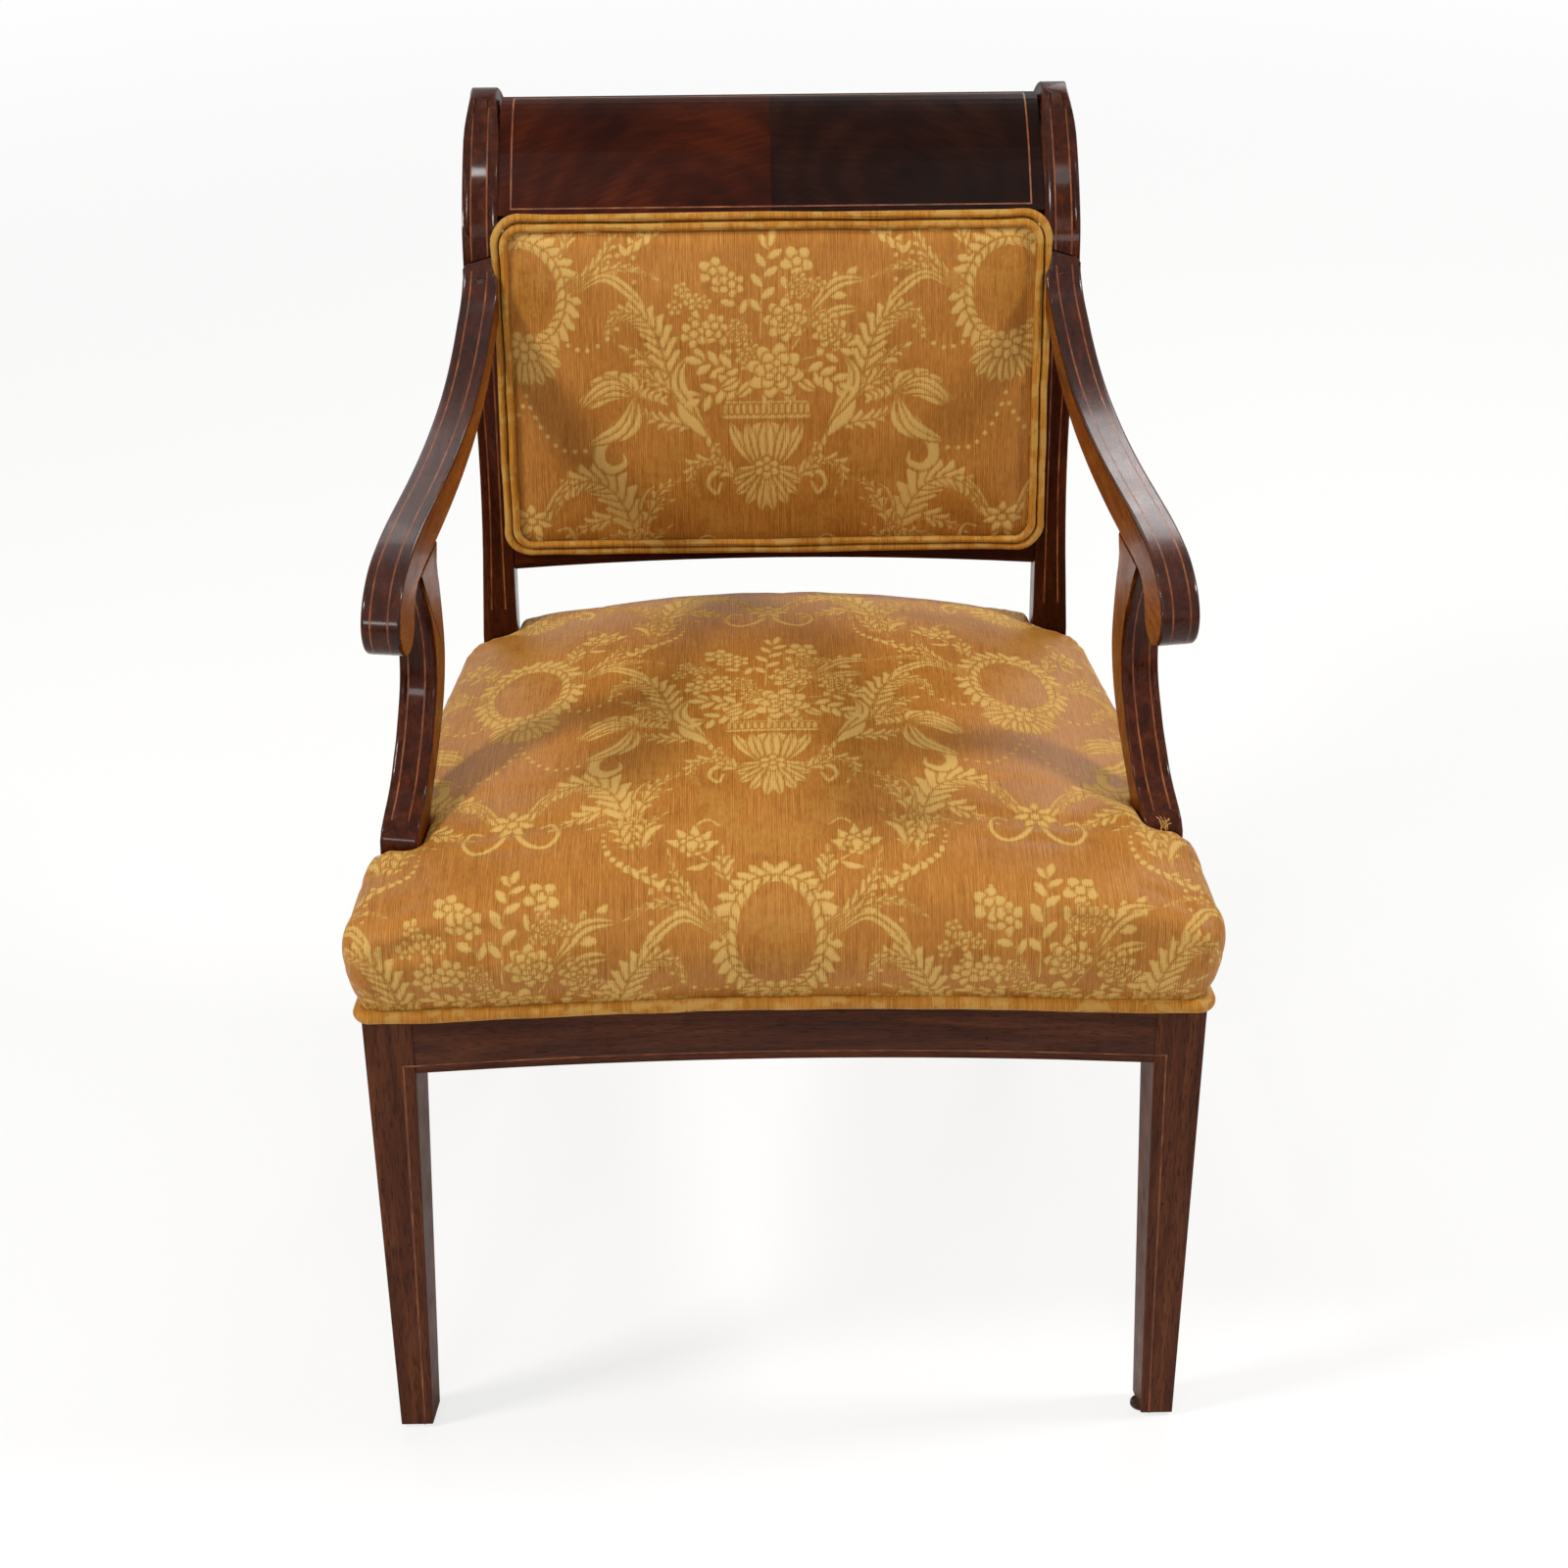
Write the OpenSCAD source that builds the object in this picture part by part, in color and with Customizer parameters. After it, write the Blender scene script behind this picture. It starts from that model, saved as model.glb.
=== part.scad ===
// Mahogany armchair with a scrolled back, swept rear legs and scrolled arms.
// Millimetres, +Z up. The sitter looks along -Y. Left and right are the viewer's,
// who stands in front of the chair. Feet stand on z = 0, the plan is centred.

/* [Overall] */
// Width over the outer faces of the front legs
front_w = 583; // [560:1:620]
// Width over the outer faces of the back posts
back_w = 463; // [445:1:480]
// Depth from the front of the front legs to the front of the back posts
seat_depth = 424; // [400:1:450]
// Height of the top of the seat rails
rail_top = 386; // [370:1:410]
// Lean of the back posts from upright
back_rake = 6.64; // [4:0.1:9]
// Height above the seat rails where the back posts start to roll backwards
bend_up = 353; // [340:1:370]

/* [Front legs] */
// Width and depth of a front leg at the rail
leg_top = 34.5; // [30:0.5:38]
// Width and depth of a front leg at the foot
leg_foot = 24; // [20:0.5:28]

/* [Rear legs and posts] */
// Width of a back post across the chair
post_w = 27; // [24:0.5:30]
// Depth of a back post from front to back
post_d = 31; // [27:0.5:34]
// Depth of a rear leg at its foot
rear_foot_d = 27; // [22:0.5:31]
// How far a rear foot sweeps back behind the front of the post
foot_sweep = 118; // [90:1:135]
// How far the top of the post rolls back from the bend
scroll_back = 143; // [125:1:160]
// How far the top of the post rises above the bend
scroll_rise = 95; // [80:1:105]
// How far the outer face of a post is drawn in between the seat and the arm
post_waist = 4; // [0:0.5:6]

/* [Seat rails] */
// Height of the seat rails
rail_h = 45.5; // [38:0.5:50]
// Thickness of the seat rails
rail_t = 24; // [20:0.5:27]
// How far the front rail is bowed back at its middle
front_bow = 10.8; // [4:0.2:16]
// Length of the tenons on the seat rails
tenon_len = 12; // [9:0.5:13]
// Thickness of the tenons
tenon_t = 9; // [7:0.5:10]
// Shoulder above and below a rail tenon
tenon_shoulder = 9; // [6:0.5:12]
// Clearance around a tenon in its mortise
fit_gap = 0.1; // [0.05:0.05:0.3]
// Width of the braces across the corners of the seat frame
brace_w = 24; // [18:1:30]
// Height of the corner braces
brace_h = 28; // [20:1:34]
// Distance of a front brace's middle from the chair's side along the rail
brace_reach = 62; // [55:1:75]

/* [Brace screws] */
// Diameter of the shank of a brace screw
screw_d = 4; // [3:0.5:5]
// Diameter of the head of a brace screw
screw_head_d = 8; // [6:0.5:9]
// Thickness of the head of a brace screw
screw_head_t = 2.5; // [2:0.5:4]
// How deep a brace screw bites into its rail
screw_bite = 12; // [8:1:14]

/* [Crest and lower back rail] */
// Height of the crest rail's lower edge above the bend of the posts
crest_low = 36; // [32:1:41]
// Thickness of the crest rail
crest_t = 22; // [18:0.5:24]
// Thickness of the figured veneer on the crest rail
veneer_t = 0.8; // [0.6:0.1:1.2]
// Height of the lower back rail's lower edge above the seat rails
back_rail_low = 109.5; // [100:1:114]
// Height of the lower back rail
back_rail_h = 32; // [28:1:38]
// How far the lower edge of the lower back rail arches up
back_rail_arch = 7; // [3:0.5:10]
// Thickness of the lower back rail
back_rail_t = 26; // [20:0.5:27]

/* [Arms] */
// Height of the level part of the arm above the seat rails
arm_up = 291; // [280:1:300]
// Rise of the arm's top from its level part to the post
arm_rise = 66; // [60:1:72]
// Distance of the front of the arm's scroll behind the front legs
arm_front = 84; // [70:1:100]
// Width of an arm and of its support
arm_w = 27; // [24:0.5:29]
// Depth of the arm below its top
arm_d = 26; // [23:0.5:29]
// Distance of an arm support's base behind the front legs
support_base = 96; // [90:1:105]
// Depth of an arm support from front to back
support_d = 31; // [27:0.5:34]
// Outward lean of an arm support from top to base, in degrees
support_splay = 1.15; // [0.5:0.05:2]

/* [Boxwood stringing] */
// Width of a boxwood line
string_w = 1.2; // [0.8:0.1:1.6]
// Depth of a boxwood line in the wood
string_deep = 1.2; // [1:0.1:1.5]
// Distance of the first line from the outer edge of a post or arm
string_out = 6; // [4:0.5:8]
// Distance between the two lines on a post or arm
string_gap = 12; // [10:0.5:14]
// Distance of a line from the edge of the crest rail or front rail
string_edge = 6; // [4:0.5:8]

/* [Seat upholstery] */
// Width of a strip of webbing
web_w = 50; // [40:1:56]
// Thickness of a strip of webbing
web_t = 1.6; // [1.2:0.1:2.2]
// Strips of webbing in each direction
web_count = 5; // [4:1:6]
// Thickness of the hessian
hessian_t = 1; // [0.8:0.1:1.4]
// Thickness of the first stuffing
stuffing_t = 18; // [14:1:24]
// Distance of webbing, hessian and stuffing from the outside of the rails
lay_in = 9; // [7:1:12]
// Height of the cover's edge roll above the rails
seat_side_h = 85; // [75:1:95]
// Rise of the seat's middle above its edge
seat_crown = 24; // [12:1:30]
// How far the cover bulges outside the rails
seat_bulge = 12.5; // [8:0.5:16]
// How much lower the cover lies at its rear corners
seat_rear_drop = 20; // [8:1:26]
// Distance of the middle of the cord outside the rails
seat_cord_out = 2; // [0.5:0.5:3]
// Diameter of the cord along the lower edge of the seat
seat_cord_d = 10; // [7:0.5:11]
// Clearance between soft pieces and their neighbours
soft_gap = 0.3; // [0.2:0.05:0.6]

/* [Back upholstery] */
// How far the outer cord of the padded back laps over the front of the posts
back_cord_lap = 3.5; // [2:0.5:4]
// Height of the cord's lower edge above the lower edge of the lower back rail
back_pad_low = 14; // [11:1:20]
// Distance of the padded back's upper edge under the crest rail
back_pad_gap = 3; // [2:0.5:6]
// Corner radius of the padded back
back_pad_r = 20; // [15:1:28]
// Rise of the padded back's middle in front of the posts
back_crown = 22; // [14:1:28]
// Diameter of the two cords round the padded back
back_cord_d = 5.2; // [4.5:0.1:6]
// Depth of the pad behind the front of the posts
back_pad_depth = 8; // [6:0.5:10]
// Width of the battens of the inner back frame
batten_w = 26; // [20:1:32]
// Thickness of the battens of the inner back frame
batten_t = 13.5; // [11:0.5:14]
// Thickness of the cloth on the outside of the back
outside_cloth_t = 1.2; // [0.8:0.1:2]

// Strips of webbing up the back
back_webs_up = 4; // [3:1:5]
// Strips of webbing across the back
back_webs_across = 3; // [2:1:4]

/* [Glides] */
// Diameter of the domed glide under each foot
glide_d = 16; // [13:0.5:19]
// Height of a glide under the foot
glide_h = 3; // [2:0.5:4]
// How far the right front glide has moved inwards
glide_shift = 9; // [0:0.5:10]

/* [Hidden] */

$fn = 48;
wood_dark = "#4a2315";
wood_light = "#7a3d1c";
boxwood = "#c98a3c";
damask = "#c4914e";
jute = "#a98e63";
linen = "#b8a27a";
metal = "#3b342c";

// Plan of the frame
front_half = front_w / 2;
back_half = back_w / 2;
side_k = (front_half - back_half) / seat_depth;
side_a = atan(side_k);
rail_low = rail_top - rail_h;
leg_in = front_half - leg_top;
post_in = back_half - post_w;
rear_rail_y = seat_depth + post_d - rail_t;
seat_back = rear_rail_y + rail_t;
foot_z = glide_h;
function side_out(y) = front_half - side_k * y;
function side_in(y) = side_out(y) - rail_t / cos(side_a);
function bow_at(x) = front_bow * (1 - pow(x / leg_in, 2));

// Line of the back posts
post_bend = rail_top + bend_up;
arm_level = rail_top + arm_up;
arm_join = arm_level + arm_rise;
rake_z = rail_top + 9.5;
block_z = rail_low - 6;
function post_y(z) = seat_depth + (z - rake_z) * tan(back_rake);
bend = [post_y(post_bend), post_bend];

// Small curve tools: points on a smooth line, its normals, and a band beside it
function knot(p, i) = p[max(0, min(len(p) - 1, i))];
function curve_at(p, i, t) =
  0.5 * (2 * knot(p, i)
  + t * (knot(p, i + 1) - knot(p, i - 1))
  + t * t * (2 * knot(p, i - 1) - 5 * knot(p, i) + 4 * knot(p, i + 1) - knot(p, i + 2))
  + t * t * t * (3 * knot(p, i) - knot(p, i - 1) - 3 * knot(p, i + 1) + knot(p, i + 2)));
function smooth(p, n) = concat(
  [for (i = [0 : len(p) - 2]) for (j = [0 : n - 1]) curve_at(p, i, j / n)],
  [p[len(p) - 1]]);
function unit(v) = v / norm(v);
function dir_at(p, i) = unit(knot(p, i + 1) - knot(p, i - 1));
function right_of(v) = [v[1], -v[0]];
function beside(p, d) = [for (i = [0 : len(p) - 1]) p[i] + d * right_of(dir_at(p, i))];
function back_to_front(p) = [for (i = [len(p) - 1 : -1 : 0]) p[i]];
function band(p, a, b) = concat(beside(p, a), back_to_front(beside(p, b)));
function stretch(p, a, b) = [for (q = p) [q[0] * a, q[1] * b]];
function moved(p, v) = [for (q = p) q + v];

// A profile in the plane of Y and Z, drawn out along X from x0 to x1
module slab(p, x0, x1) {
  translate([x0, 0, 0])
    rotate([90, 0, 90])
      linear_extrude(x1 - x0)
        polygon(p);
}

// A solid through rings of points, each ring with the same number of points
module skin(rings, tip) {
  n = len(rings[0]);
  m = len(rings);
  points = concat([for (r = rings) for (q = r) q], tip);
  sides = [
    for (j = [0 : m - 2]) for (i = [0 : n - 1]) for (h = [0, 1])
      h == 0
        ? [j * n + i, (j + 1) * n + i, j * n + (i + 1) % n]
        : [j * n + (i + 1) % n, (j + 1) * n + i, (j + 1) * n + (i + 1) % n]
  ];
  low = [for (i = [0 : n - 1]) [m * n, i, (i + 1) % n]];
  high = [for (i = [0 : n - 1]) [m * n + 1, (m - 1) * n + (i + 1) % n, (m - 1) * n + i]];
  polyhedron(points, concat(sides, low, high));
}

// A cord: rings of eight points round each point of a route, open or closed
function across(p, i, closed) =
  let (n = len(p))
  let (a = closed ? p[(i + n - 1) % n] : knot(p, i - 1))
  let (b = closed ? p[(i + 1) % n] : knot(p, i + 1))
  unit(b - a);
function cord_ring(c, t, up, r) =
  let (u = unit(cross(t, up)))
  let (v = cross(u, t))
  [for (a = [0 : 45 : 315]) c + r * (cos(a) * u + sin(a) * v)];
module cord(route, up, r, closed) {
  n = len(route);
  rings = [for (i = [0 : n - 1]) cord_ring(route[i], across(route, i, closed), up, r)];
  last = closed ? n - 1 : n - 2;
  sides = [
    for (j = [0 : last]) for (i = [0 : 7]) for (h = [0, 1])
      h == 0
        ? [j * 8 + i, j * 8 + (i + 1) % 8, ((j + 1) % n) * 8 + i]
        : [j * 8 + (i + 1) % 8, ((j + 1) % n) * 8 + (i + 1) % 8, ((j + 1) % n) * 8 + i]
  ];
  caps = closed ? [] : [[for (i = [7 : -1 : 0]) i], [for (i = [0 : 7]) (n - 1) * 8 + i]];
  polyhedron([for (r = rings) for (q = r) q], concat(sides, caps));
}

// Four-sided plan with rounded corners, set in or out by d, radius r at each corner
function plan_inward(c, i) = right_of(unit(c[(i + 1) % 4] - c[i])) * -1;
function plan_centre(c, i, q) =
  let (a = plan_inward(c, (i + 3) % 4))
  let (b = plan_inward(c, i))
  c[i] + q * (a + b) / (1 + a * b);
function turn_of(v) = atan2(v[1], v[0]);
function plan_ring(c, d, r, steps, along) = [
  for (i = [0 : 3])
    let (a0 = turn_of(-1 * plan_inward(c, (i + 3) % 4)))
    let (a1 = turn_of(-1 * plan_inward(c, i)))
    let (span = (a1 - a0 + 720) % 360)
    let (o = plan_centre(c, i, r[i] - d))
    let (p = plan_centre(c, (i + 1) % 4, r[(i + 1) % 4] - d))
    let (e0 = o + r[i] * [cos(a1), sin(a1)])
    let (e1 = p + r[(i + 1) % 4] * [cos(a1), sin(a1)])
    for (j = [0 : steps + along])
      j <= steps
        ? o + r[i] * [cos(a0 + span * j / steps), sin(a0 + span * j / steps)]
        : e0 + (e1 - e0) * (j - steps) / (along + 1)
];

// Side view of a rear leg and its post, one piece from foot to scroll
leg_bits = 14;
leg_front = [for (i = [0 : leg_bits])
  let (z = foot_z + (block_z - foot_z) * i / leg_bits)
  [seat_depth + foot_sweep * pow(1 - i / leg_bits, 1.9), z]];
leg_rear = [for (i = [leg_bits : -1 : 0])
  let (d = rear_foot_d + (post_d - rear_foot_d) * i / leg_bits)
  leg_front[i] + [d, 0]];
scroll_front = [[0, 0], [0.02, 0.17], [0.065, 0.32], [0.2, 0.54], [0.38, 0.74],
  [0.59, 0.91], [0.78, 0.995], [0.9, 0.975], [0.98, 0.86], [1, 0.71], [0.95, 0.59],
  [0.87, 0.545]];
scroll_rear = [[0.87, 0.545], [0.75, 0.6], [0.62, 0.545], [0.48, 0.4], [0.36, 0.2],
  [0.235, 0]];
scroll_line = smooth(moved(stretch(scroll_front, scroll_back, scroll_rise), bend), 3);
scroll_under_all = smooth(moved(stretch(scroll_rear, scroll_back, scroll_rise), bend), 3);
scroll_under = [for (i = [1 : len(scroll_under_all) - 1]) scroll_under_all[i]];
post_rear_d = post_d / cos(back_rake);
post_side = concat(
  leg_front, [[seat_depth, rake_z]], scroll_line, scroll_under,
  [[post_y(post_bend - 34) + post_rear_d, post_bend - 34],
  [seat_depth + post_d, rake_z]], leg_rear);
post_rearmost = max([for (q = scroll_line) q[0]]);
// Front of the post at a height, and the outer face of its waist
front_rise = concat([[seat_depth, rake_z]], [for (i = [0 : 18]) scroll_line[i]]);
function front_at(z) = lookup(z, [for (q = front_rise) [q[1], q[0]]]);
function front_part(z0, z1) = concat([[front_at(z0), z0]],
  [for (q = front_rise) if (q[1] > z0 && q[1] < z1) q], [[front_at(z1), z1]]);
waist_low = rail_top + 54;
waist_high = arm_join - 35;
function waist_at(z) = back_half - post_waist
  * sin(180 * max(0, min(1, (z - waist_low) / (waist_high - waist_low))));

// Side view of the crest rail, rolled like the posts but a little inside them
function on_roll(q) = [q[0] * scroll_back, q[1] * scroll_rise];
crest_front = moved(smooth([
  [crest_low * tan(back_rake) + 9, crest_low], on_roll([0.203, 0.516]), on_roll([0.385, 0.723]),
  on_roll([0.573, 0.867]), on_roll([0.72, 0.936]), on_roll([0.825, 0.936])], 3), bend);
crest_roll = moved(smooth([on_roll([0.825, 0.936]), on_roll([0.902, 0.872]),
  on_roll([0.93, 0.777]), on_roll([0.902, 0.681]), on_roll([0.832, 0.649])], 3), bend);
crest_under = beside(crest_front, crest_t);
crest_side = concat(crest_front, [for (i = [1 : len(crest_roll) - 1]) crest_roll[i]],
  back_to_front([for (i = [0 : len(crest_under) - 4]) crest_under[i]]));

// Arms lie in an upright plane that narrows towards the back
arm_end = front_at(arm_join);
arm_plane_k = (side_out(support_base) - back_half) / (arm_end - support_base);
arm_a = atan(arm_plane_k);
arm_x0 = back_half + arm_plane_k * arm_end;
arm_reach = arm_end - arm_front;
module in_arm_plane() {
  translate([arm_x0, 0, 0]) rotate([0, 0, arm_a]) children();
}
function on_arm(p) = [for (q = p) [(arm_end - q[0] * arm_reach) / cos(arm_a),
  arm_level + q[1]]];
arm_top = smooth(on_arm([[-0.02, arm_rise + 14], [0, arm_rise], [0.025, arm_rise * 0.78],
  [0.055, arm_rise * 0.62], [0.098, arm_rise * 0.48], [0.136, arm_rise * 0.36],
  [0.183, arm_rise * 0.24], [0.236, arm_rise * 0.14], [0.293, 4.5], [0.364, 1.2],
  [0.434, -0.5], [0.513, -0.8], [0.6, 0.3], [0.69, 2.6], [0.77, 4.2], [0.842, 4],
  [0.905, 1.5], [0.95, -5], [0.982, -14], [1, -26], [0.998, -39], [0.98, -50],
  [0.945, -58], [0.91, -56], [0.888, -47]]), 3);
arm_under = smooth(on_arm([[0.888, -47], [0.874, -34], [0.84, -arm_d + 0.6],
  [0.77, -arm_d + 1.5], [0.69, -arm_d], [0.59, -arm_d - 1], [0.48, -arm_d - 0.5],
  [0.4, -arm_d + 1.5], [0.32, -arm_d + 5], [0.24, -arm_d + 11.5], [0.165, -arm_d + 21],
  [0.1, -arm_d + 33], [0.045, -arm_d + 46], [-0.01, arm_rise - 34]]), 3);
arm_side = concat(arm_top, [for (i = [1 : len(arm_under) - 1]) arm_under[i]]);

// Arm supports bow backwards, with an upright foot inside the upholstery
support_front = smooth(on_support([[0, -4], [0, 54], [0.5, 84], [13, 94.5],
  [29, 101], [43, 109], [53, 118.5], [64, 128.5], [72, 139.5], [80, 151], [86, 164],
  [88.5, 180], [87, 198], [81, 217], [72, 236], [62, 254], [50, 282]]), 2);
support_rear = smooth(on_support([[86 + support_d, 282], [77 + support_d, 250],
  [81 + support_d, 231], [84.5 + support_d, 212], [87 + support_d, 194],
  [88 + support_d, 178], [86 + support_d, 162], [78 + support_d, 141],
  [62 + support_d, 120], [40 + support_d, 101], [18 + support_d, 82],
  [4 + support_d, 56], [support_d, 26], [support_d, -4]]), 2);
function on_support(p) = [for (q = p) [(support_base + q[0]) / cos(arm_a),
  rail_top + q[1] * (q[1] < 0 ? 1 : arm_up / 291)]];
support_side = concat(support_front, support_rear);
module in_support_plane() {
  in_arm_plane()
    translate([0, 0, arm_level - arm_d])
      rotate([0, -support_splay, 0])
        translate([0, 0, arm_d - arm_level])
          children();
}

// Padded back: its own plane, v up the back from the rake's start, n forwards
module in_back_plane() {
  translate([0, seat_depth, rake_z])
    rotate([90 - back_rake, 0, 0])
      children();
}
function up_back(z) = (z - rake_z) / cos(back_rake);
back_rail_v = up_back(rail_top + back_rail_low);
pad_low = back_rail_v + back_pad_low;
pad_high = up_back(post_bend + crest_low - back_pad_gap);
pad_half = post_in - soft_gap;
pad_edge = back_cord_lap + soft_gap;
pad_corners = [[-pad_half, pad_low + pad_edge], [pad_half, pad_low + pad_edge],
  [pad_half, pad_high - pad_edge], [-pad_half, pad_high - pad_edge]];
frame_low = back_rail_v + back_rail_h;
frame_high = up_back(post_bend + crest_low - 18);
hessian_n = -back_pad_depth - hessian_t;
web_n = hessian_n - web_t;
web2_n = web_n - web_t;
batten_n = web2_n - batten_t;

// Seat plan and the layers on the rails
seat_corners = [[-side_out(0), 0], [side_out(0), 0], [side_out(seat_back), seat_back],
  [-side_out(seat_back), seat_back]];
web_z = rail_top;
hessian_z = web_z + 2 * web_t;
stuffing_z = hessian_z + hessian_t;
stuffing_top = stuffing_z + stuffing_t;
seat_edge_z = rail_top + seat_side_h;
seat_steps = 9;
seat_along = 6;
// Each ring of the cover: set out by, height share, and its corner radii
seat_rings = [
  [-0.37, 0, [8, 8, 12, 12]],
  [-0.37, 0.135, [8, 8, 12, 12]],
  [0.3, 0.2, [12, 12, 24, 24]],
  [0.62, 0.36, [16, 16, 34, 34]],
  [1, 0.64, [20, 20, 44, 44]],
  [1, 0.8, [24, 24, 50, 50]],
  [0.55, 0.91, [28, 28, 56, 56]],
  [-0.5, 0.98, [38, 38, 62, 62]],
  [-2, 1, [50, 50, 70, 70]]
];
// The cover sinks towards its rear corners
function sunk(q) = seat_rear_drop * pow(max(0, q[1]) / seat_depth, 2)
  * (0.15 + pow(q[0] / post_in, 2));
function bowed(q) = [q[0], q[1] + bow_at(q[0]) * max(0, 1 - max(0, q[1]) / 240)
  * (abs(q[0]) < leg_in ? 1 : 0)];
function seat_ring(k) = [for (q = plan_ring(seat_corners, seat_rings[k][0] * seat_bulge,
  seat_rings[k][2], seat_steps, seat_along)) bowed(q)];
seat_last = seat_ring(len(seat_rings) - 1);
seat_mid = [0, seat_back / 2];
seat_tops = 8;
seat_points = concat(
  [for (k = [0 : len(seat_rings) - 1]) [for (q = seat_ring(k))
    [q[0], q[1], rail_top + (seat_side_h - sunk(q)) * seat_rings[k][1]]]],
  [for (k = [1 : seat_tops]) let (s = 1 - k / (seat_tops + 0.6)) [for (q = seat_last)
    let (p = seat_mid + s * (q - seat_mid))
    [p[0], p[1], seat_edge_z - sunk(p) + seat_crown * (1 - pow(s, 2.2))]]]);
seat_tip = [[0, seat_back / 2, rail_top], [0, seat_back / 2, seat_edge_z + seat_crown]];

// The plan is centred between the cover's front and the scroll's back
seat_front = min([for (r = seat_points) for (q = r) q[1]]);
mid_y = (seat_front + post_rearmost) / 2;
module placed() {
  translate([0, -mid_y, 0]) children();
}
module left_side() {
  mirror([1, 0, 0]) children();
}

// Front leg: square head at the rail, tapered on its inner faces below it
module front_leg() {
  foot = leg_foot;
  head = leg_top;
  deep = head;
  difference() {
    union() {
      translate([0, 0, rail_low])
        linear_extrude(rail_h)
          polygon([[leg_in, 0], [front_half, 0], [side_out(deep), deep],
            [side_out(deep) - head, deep]]);
      leg_taper(foot, head);
    }
    rail_tenon(fit_gap, rail_t / 2 - 1);
    side_tenon_front(fit_gap);
    leg_line(0.5);
  }
}
module leg_taper(foot, head) {
  a = [[front_half - foot, 0], [front_half, 0], [side_out(foot), foot],
    [side_out(foot) - foot, foot]];
  b = [[leg_in, 0], [front_half, 0], [side_out(head), head], [side_out(head) - head, head]];
  polyhedron(
    concat([for (q = a) [q[0], q[1], foot_z]], [for (q = b) [q[0], q[1], rail_low]]),
    [[0, 1, 2, 3], [7, 6, 5, 4], [0, 4, 5, 1], [1, 5, 6, 2], [2, 6, 7, 3], [3, 7, 4, 0]]);
}
// Boxwood line from the rail's line down the front of a leg, beside its inner corner
leg_line_in = 8;
module leg_line(over) {
  z = rail_low + string_edge;
  x0 = leg_in + leg_line_in;
  x1 = front_half - leg_foot + leg_line_in * leg_foot / leg_top;
  translate([0, string_deep, 0])
    rotate([90, 0, 0])
      linear_extrude(string_deep + over)
        polygon([[leg_in, z], [leg_in, z + string_w], [x0 + string_w, z + string_w],
          [x0 + string_w, rail_low], [x1 + string_w, foot_z], [x1, foot_z],
          [x0, rail_low], [x0, z]]);
}

// Tenons of the front rail and side rails, with g as clearance all round
module rail_tenon(g, y) {
  translate([leg_in - 6, y - tenon_t / 2 - g, rail_low + tenon_shoulder - g])
    cube([tenon_len + 6 + g, tenon_t + 2 * g, rail_h - 2 * tenon_shoulder + 2 * g]);
}
module side_tenon_front(g) {
  x = (side_out(leg_top) + side_in(leg_top)) / 2;
  translate([x - tenon_t / 2 - g, leg_top - tenon_len - g, rail_low + tenon_shoulder - g])
    cube([tenon_t + 2 * g, tenon_len + 6 + g, rail_h - 2 * tenon_shoulder + 2 * g]);
}
module side_tenon_rear(g) {
  x = (side_out(seat_depth) + side_in(seat_depth)) / 2;
  translate([x - tenon_t / 2 - g, seat_depth - 6, rail_low + tenon_shoulder - g])
    cube([tenon_t + 2 * g, tenon_len + 6 + g, rail_h - 2 * tenon_shoulder + 2 * g]);
}
module rear_rail_tenon(g) {
  translate([post_in - 6, rear_rail_y + rail_t - tenon_t - 5 - g, rail_low + tenon_shoulder - g])
    cube([tenon_len + 6 + g, tenon_t + 2 * g, rail_h - 2 * tenon_shoulder + 2 * g]);
}
module arm_tenon(g) {
  in_arm_plane()
    translate([-arm_w / 2 - tenon_t / 2 - g, arm_end / cos(arm_a) - 8, arm_join - 29 - g])
      cube([tenon_t + 2 * g, tenon_len + 6 + g, 20 + 2 * g]);
}
module crest_tenon(g) {
  translate([post_in - 6, bend[0] + 0.308 * scroll_back - g, post_bend + 0.489 * scroll_rise - g])
    cube([tenon_len + 6 + g, 18 + 2 * g, 7 + 2 * g]);
}
module back_rail_tenon(g) {
  in_back_plane()
    translate([post_in - 6, up_back(rail_top + back_rail_low) + 8 - g, -tenon_t - 9 - g])
      cube([tenon_len + 6 + g, back_rail_h - 16 + 2 * g, tenon_t + 2 * g]);
}

// Rear leg and back post, with mortises for rails, crest rail and arm
module rear_leg() {
  difference() {
    slab(post_side, post_in, back_half);
    post_waist_cut();
    side_tenon_rear(fit_gap);
    rear_rail_tenon(fit_gap);
    arm_tenon(fit_gap);
    crest_tenon(fit_gap);
    back_rail_tenon(fit_gap);
    post_lines(0.5);
  }
}
waist_steps = 12;
module post_waist_cut() {
  edge = [for (i = [0 : waist_steps]) let (z = between([waist_low, waist_high], i / waist_steps))
    [waist_at(z), z]];
  translate([0, arm_end + post_d, 0])
    rotate([90, 0, 0])
      linear_extrude(arm_end + post_d)
        if (post_waist > 0)
          polygon(concat(edge, [[back_half + 9, waist_high], [back_half + 9, waist_low]]));
}
// Two boxwood lines up the post, below and above the arm; the outer one follows the waist
post_line_low = rail_top + 76;
post_line_high = arm_join - 38;
module post_lines(over) {
  line = [for (i = [0 : waist_steps])
    let (z = between([post_line_low, post_line_high], i / waist_steps))
    [waist_at(z) - string_out, up_back(z)]];
  in_back_plane() translate([0, 0, -string_deep])
    linear_extrude(string_deep + over) {
      polygon(concat(line, back_to_front(moved(line, [-string_w, 0]))));
      translate([back_half - string_out - string_gap - string_w, up_back(post_line_low)])
        square([string_w, up_back(post_line_high) - up_back(post_line_low)]);
    }
  high = front_part(arm_join + 1, scroll_line[17][1]);
  for (x = [string_out, string_out + string_gap])
    slab(band(high, -over, string_deep), back_half - x - string_w, back_half - x);
}

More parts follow.
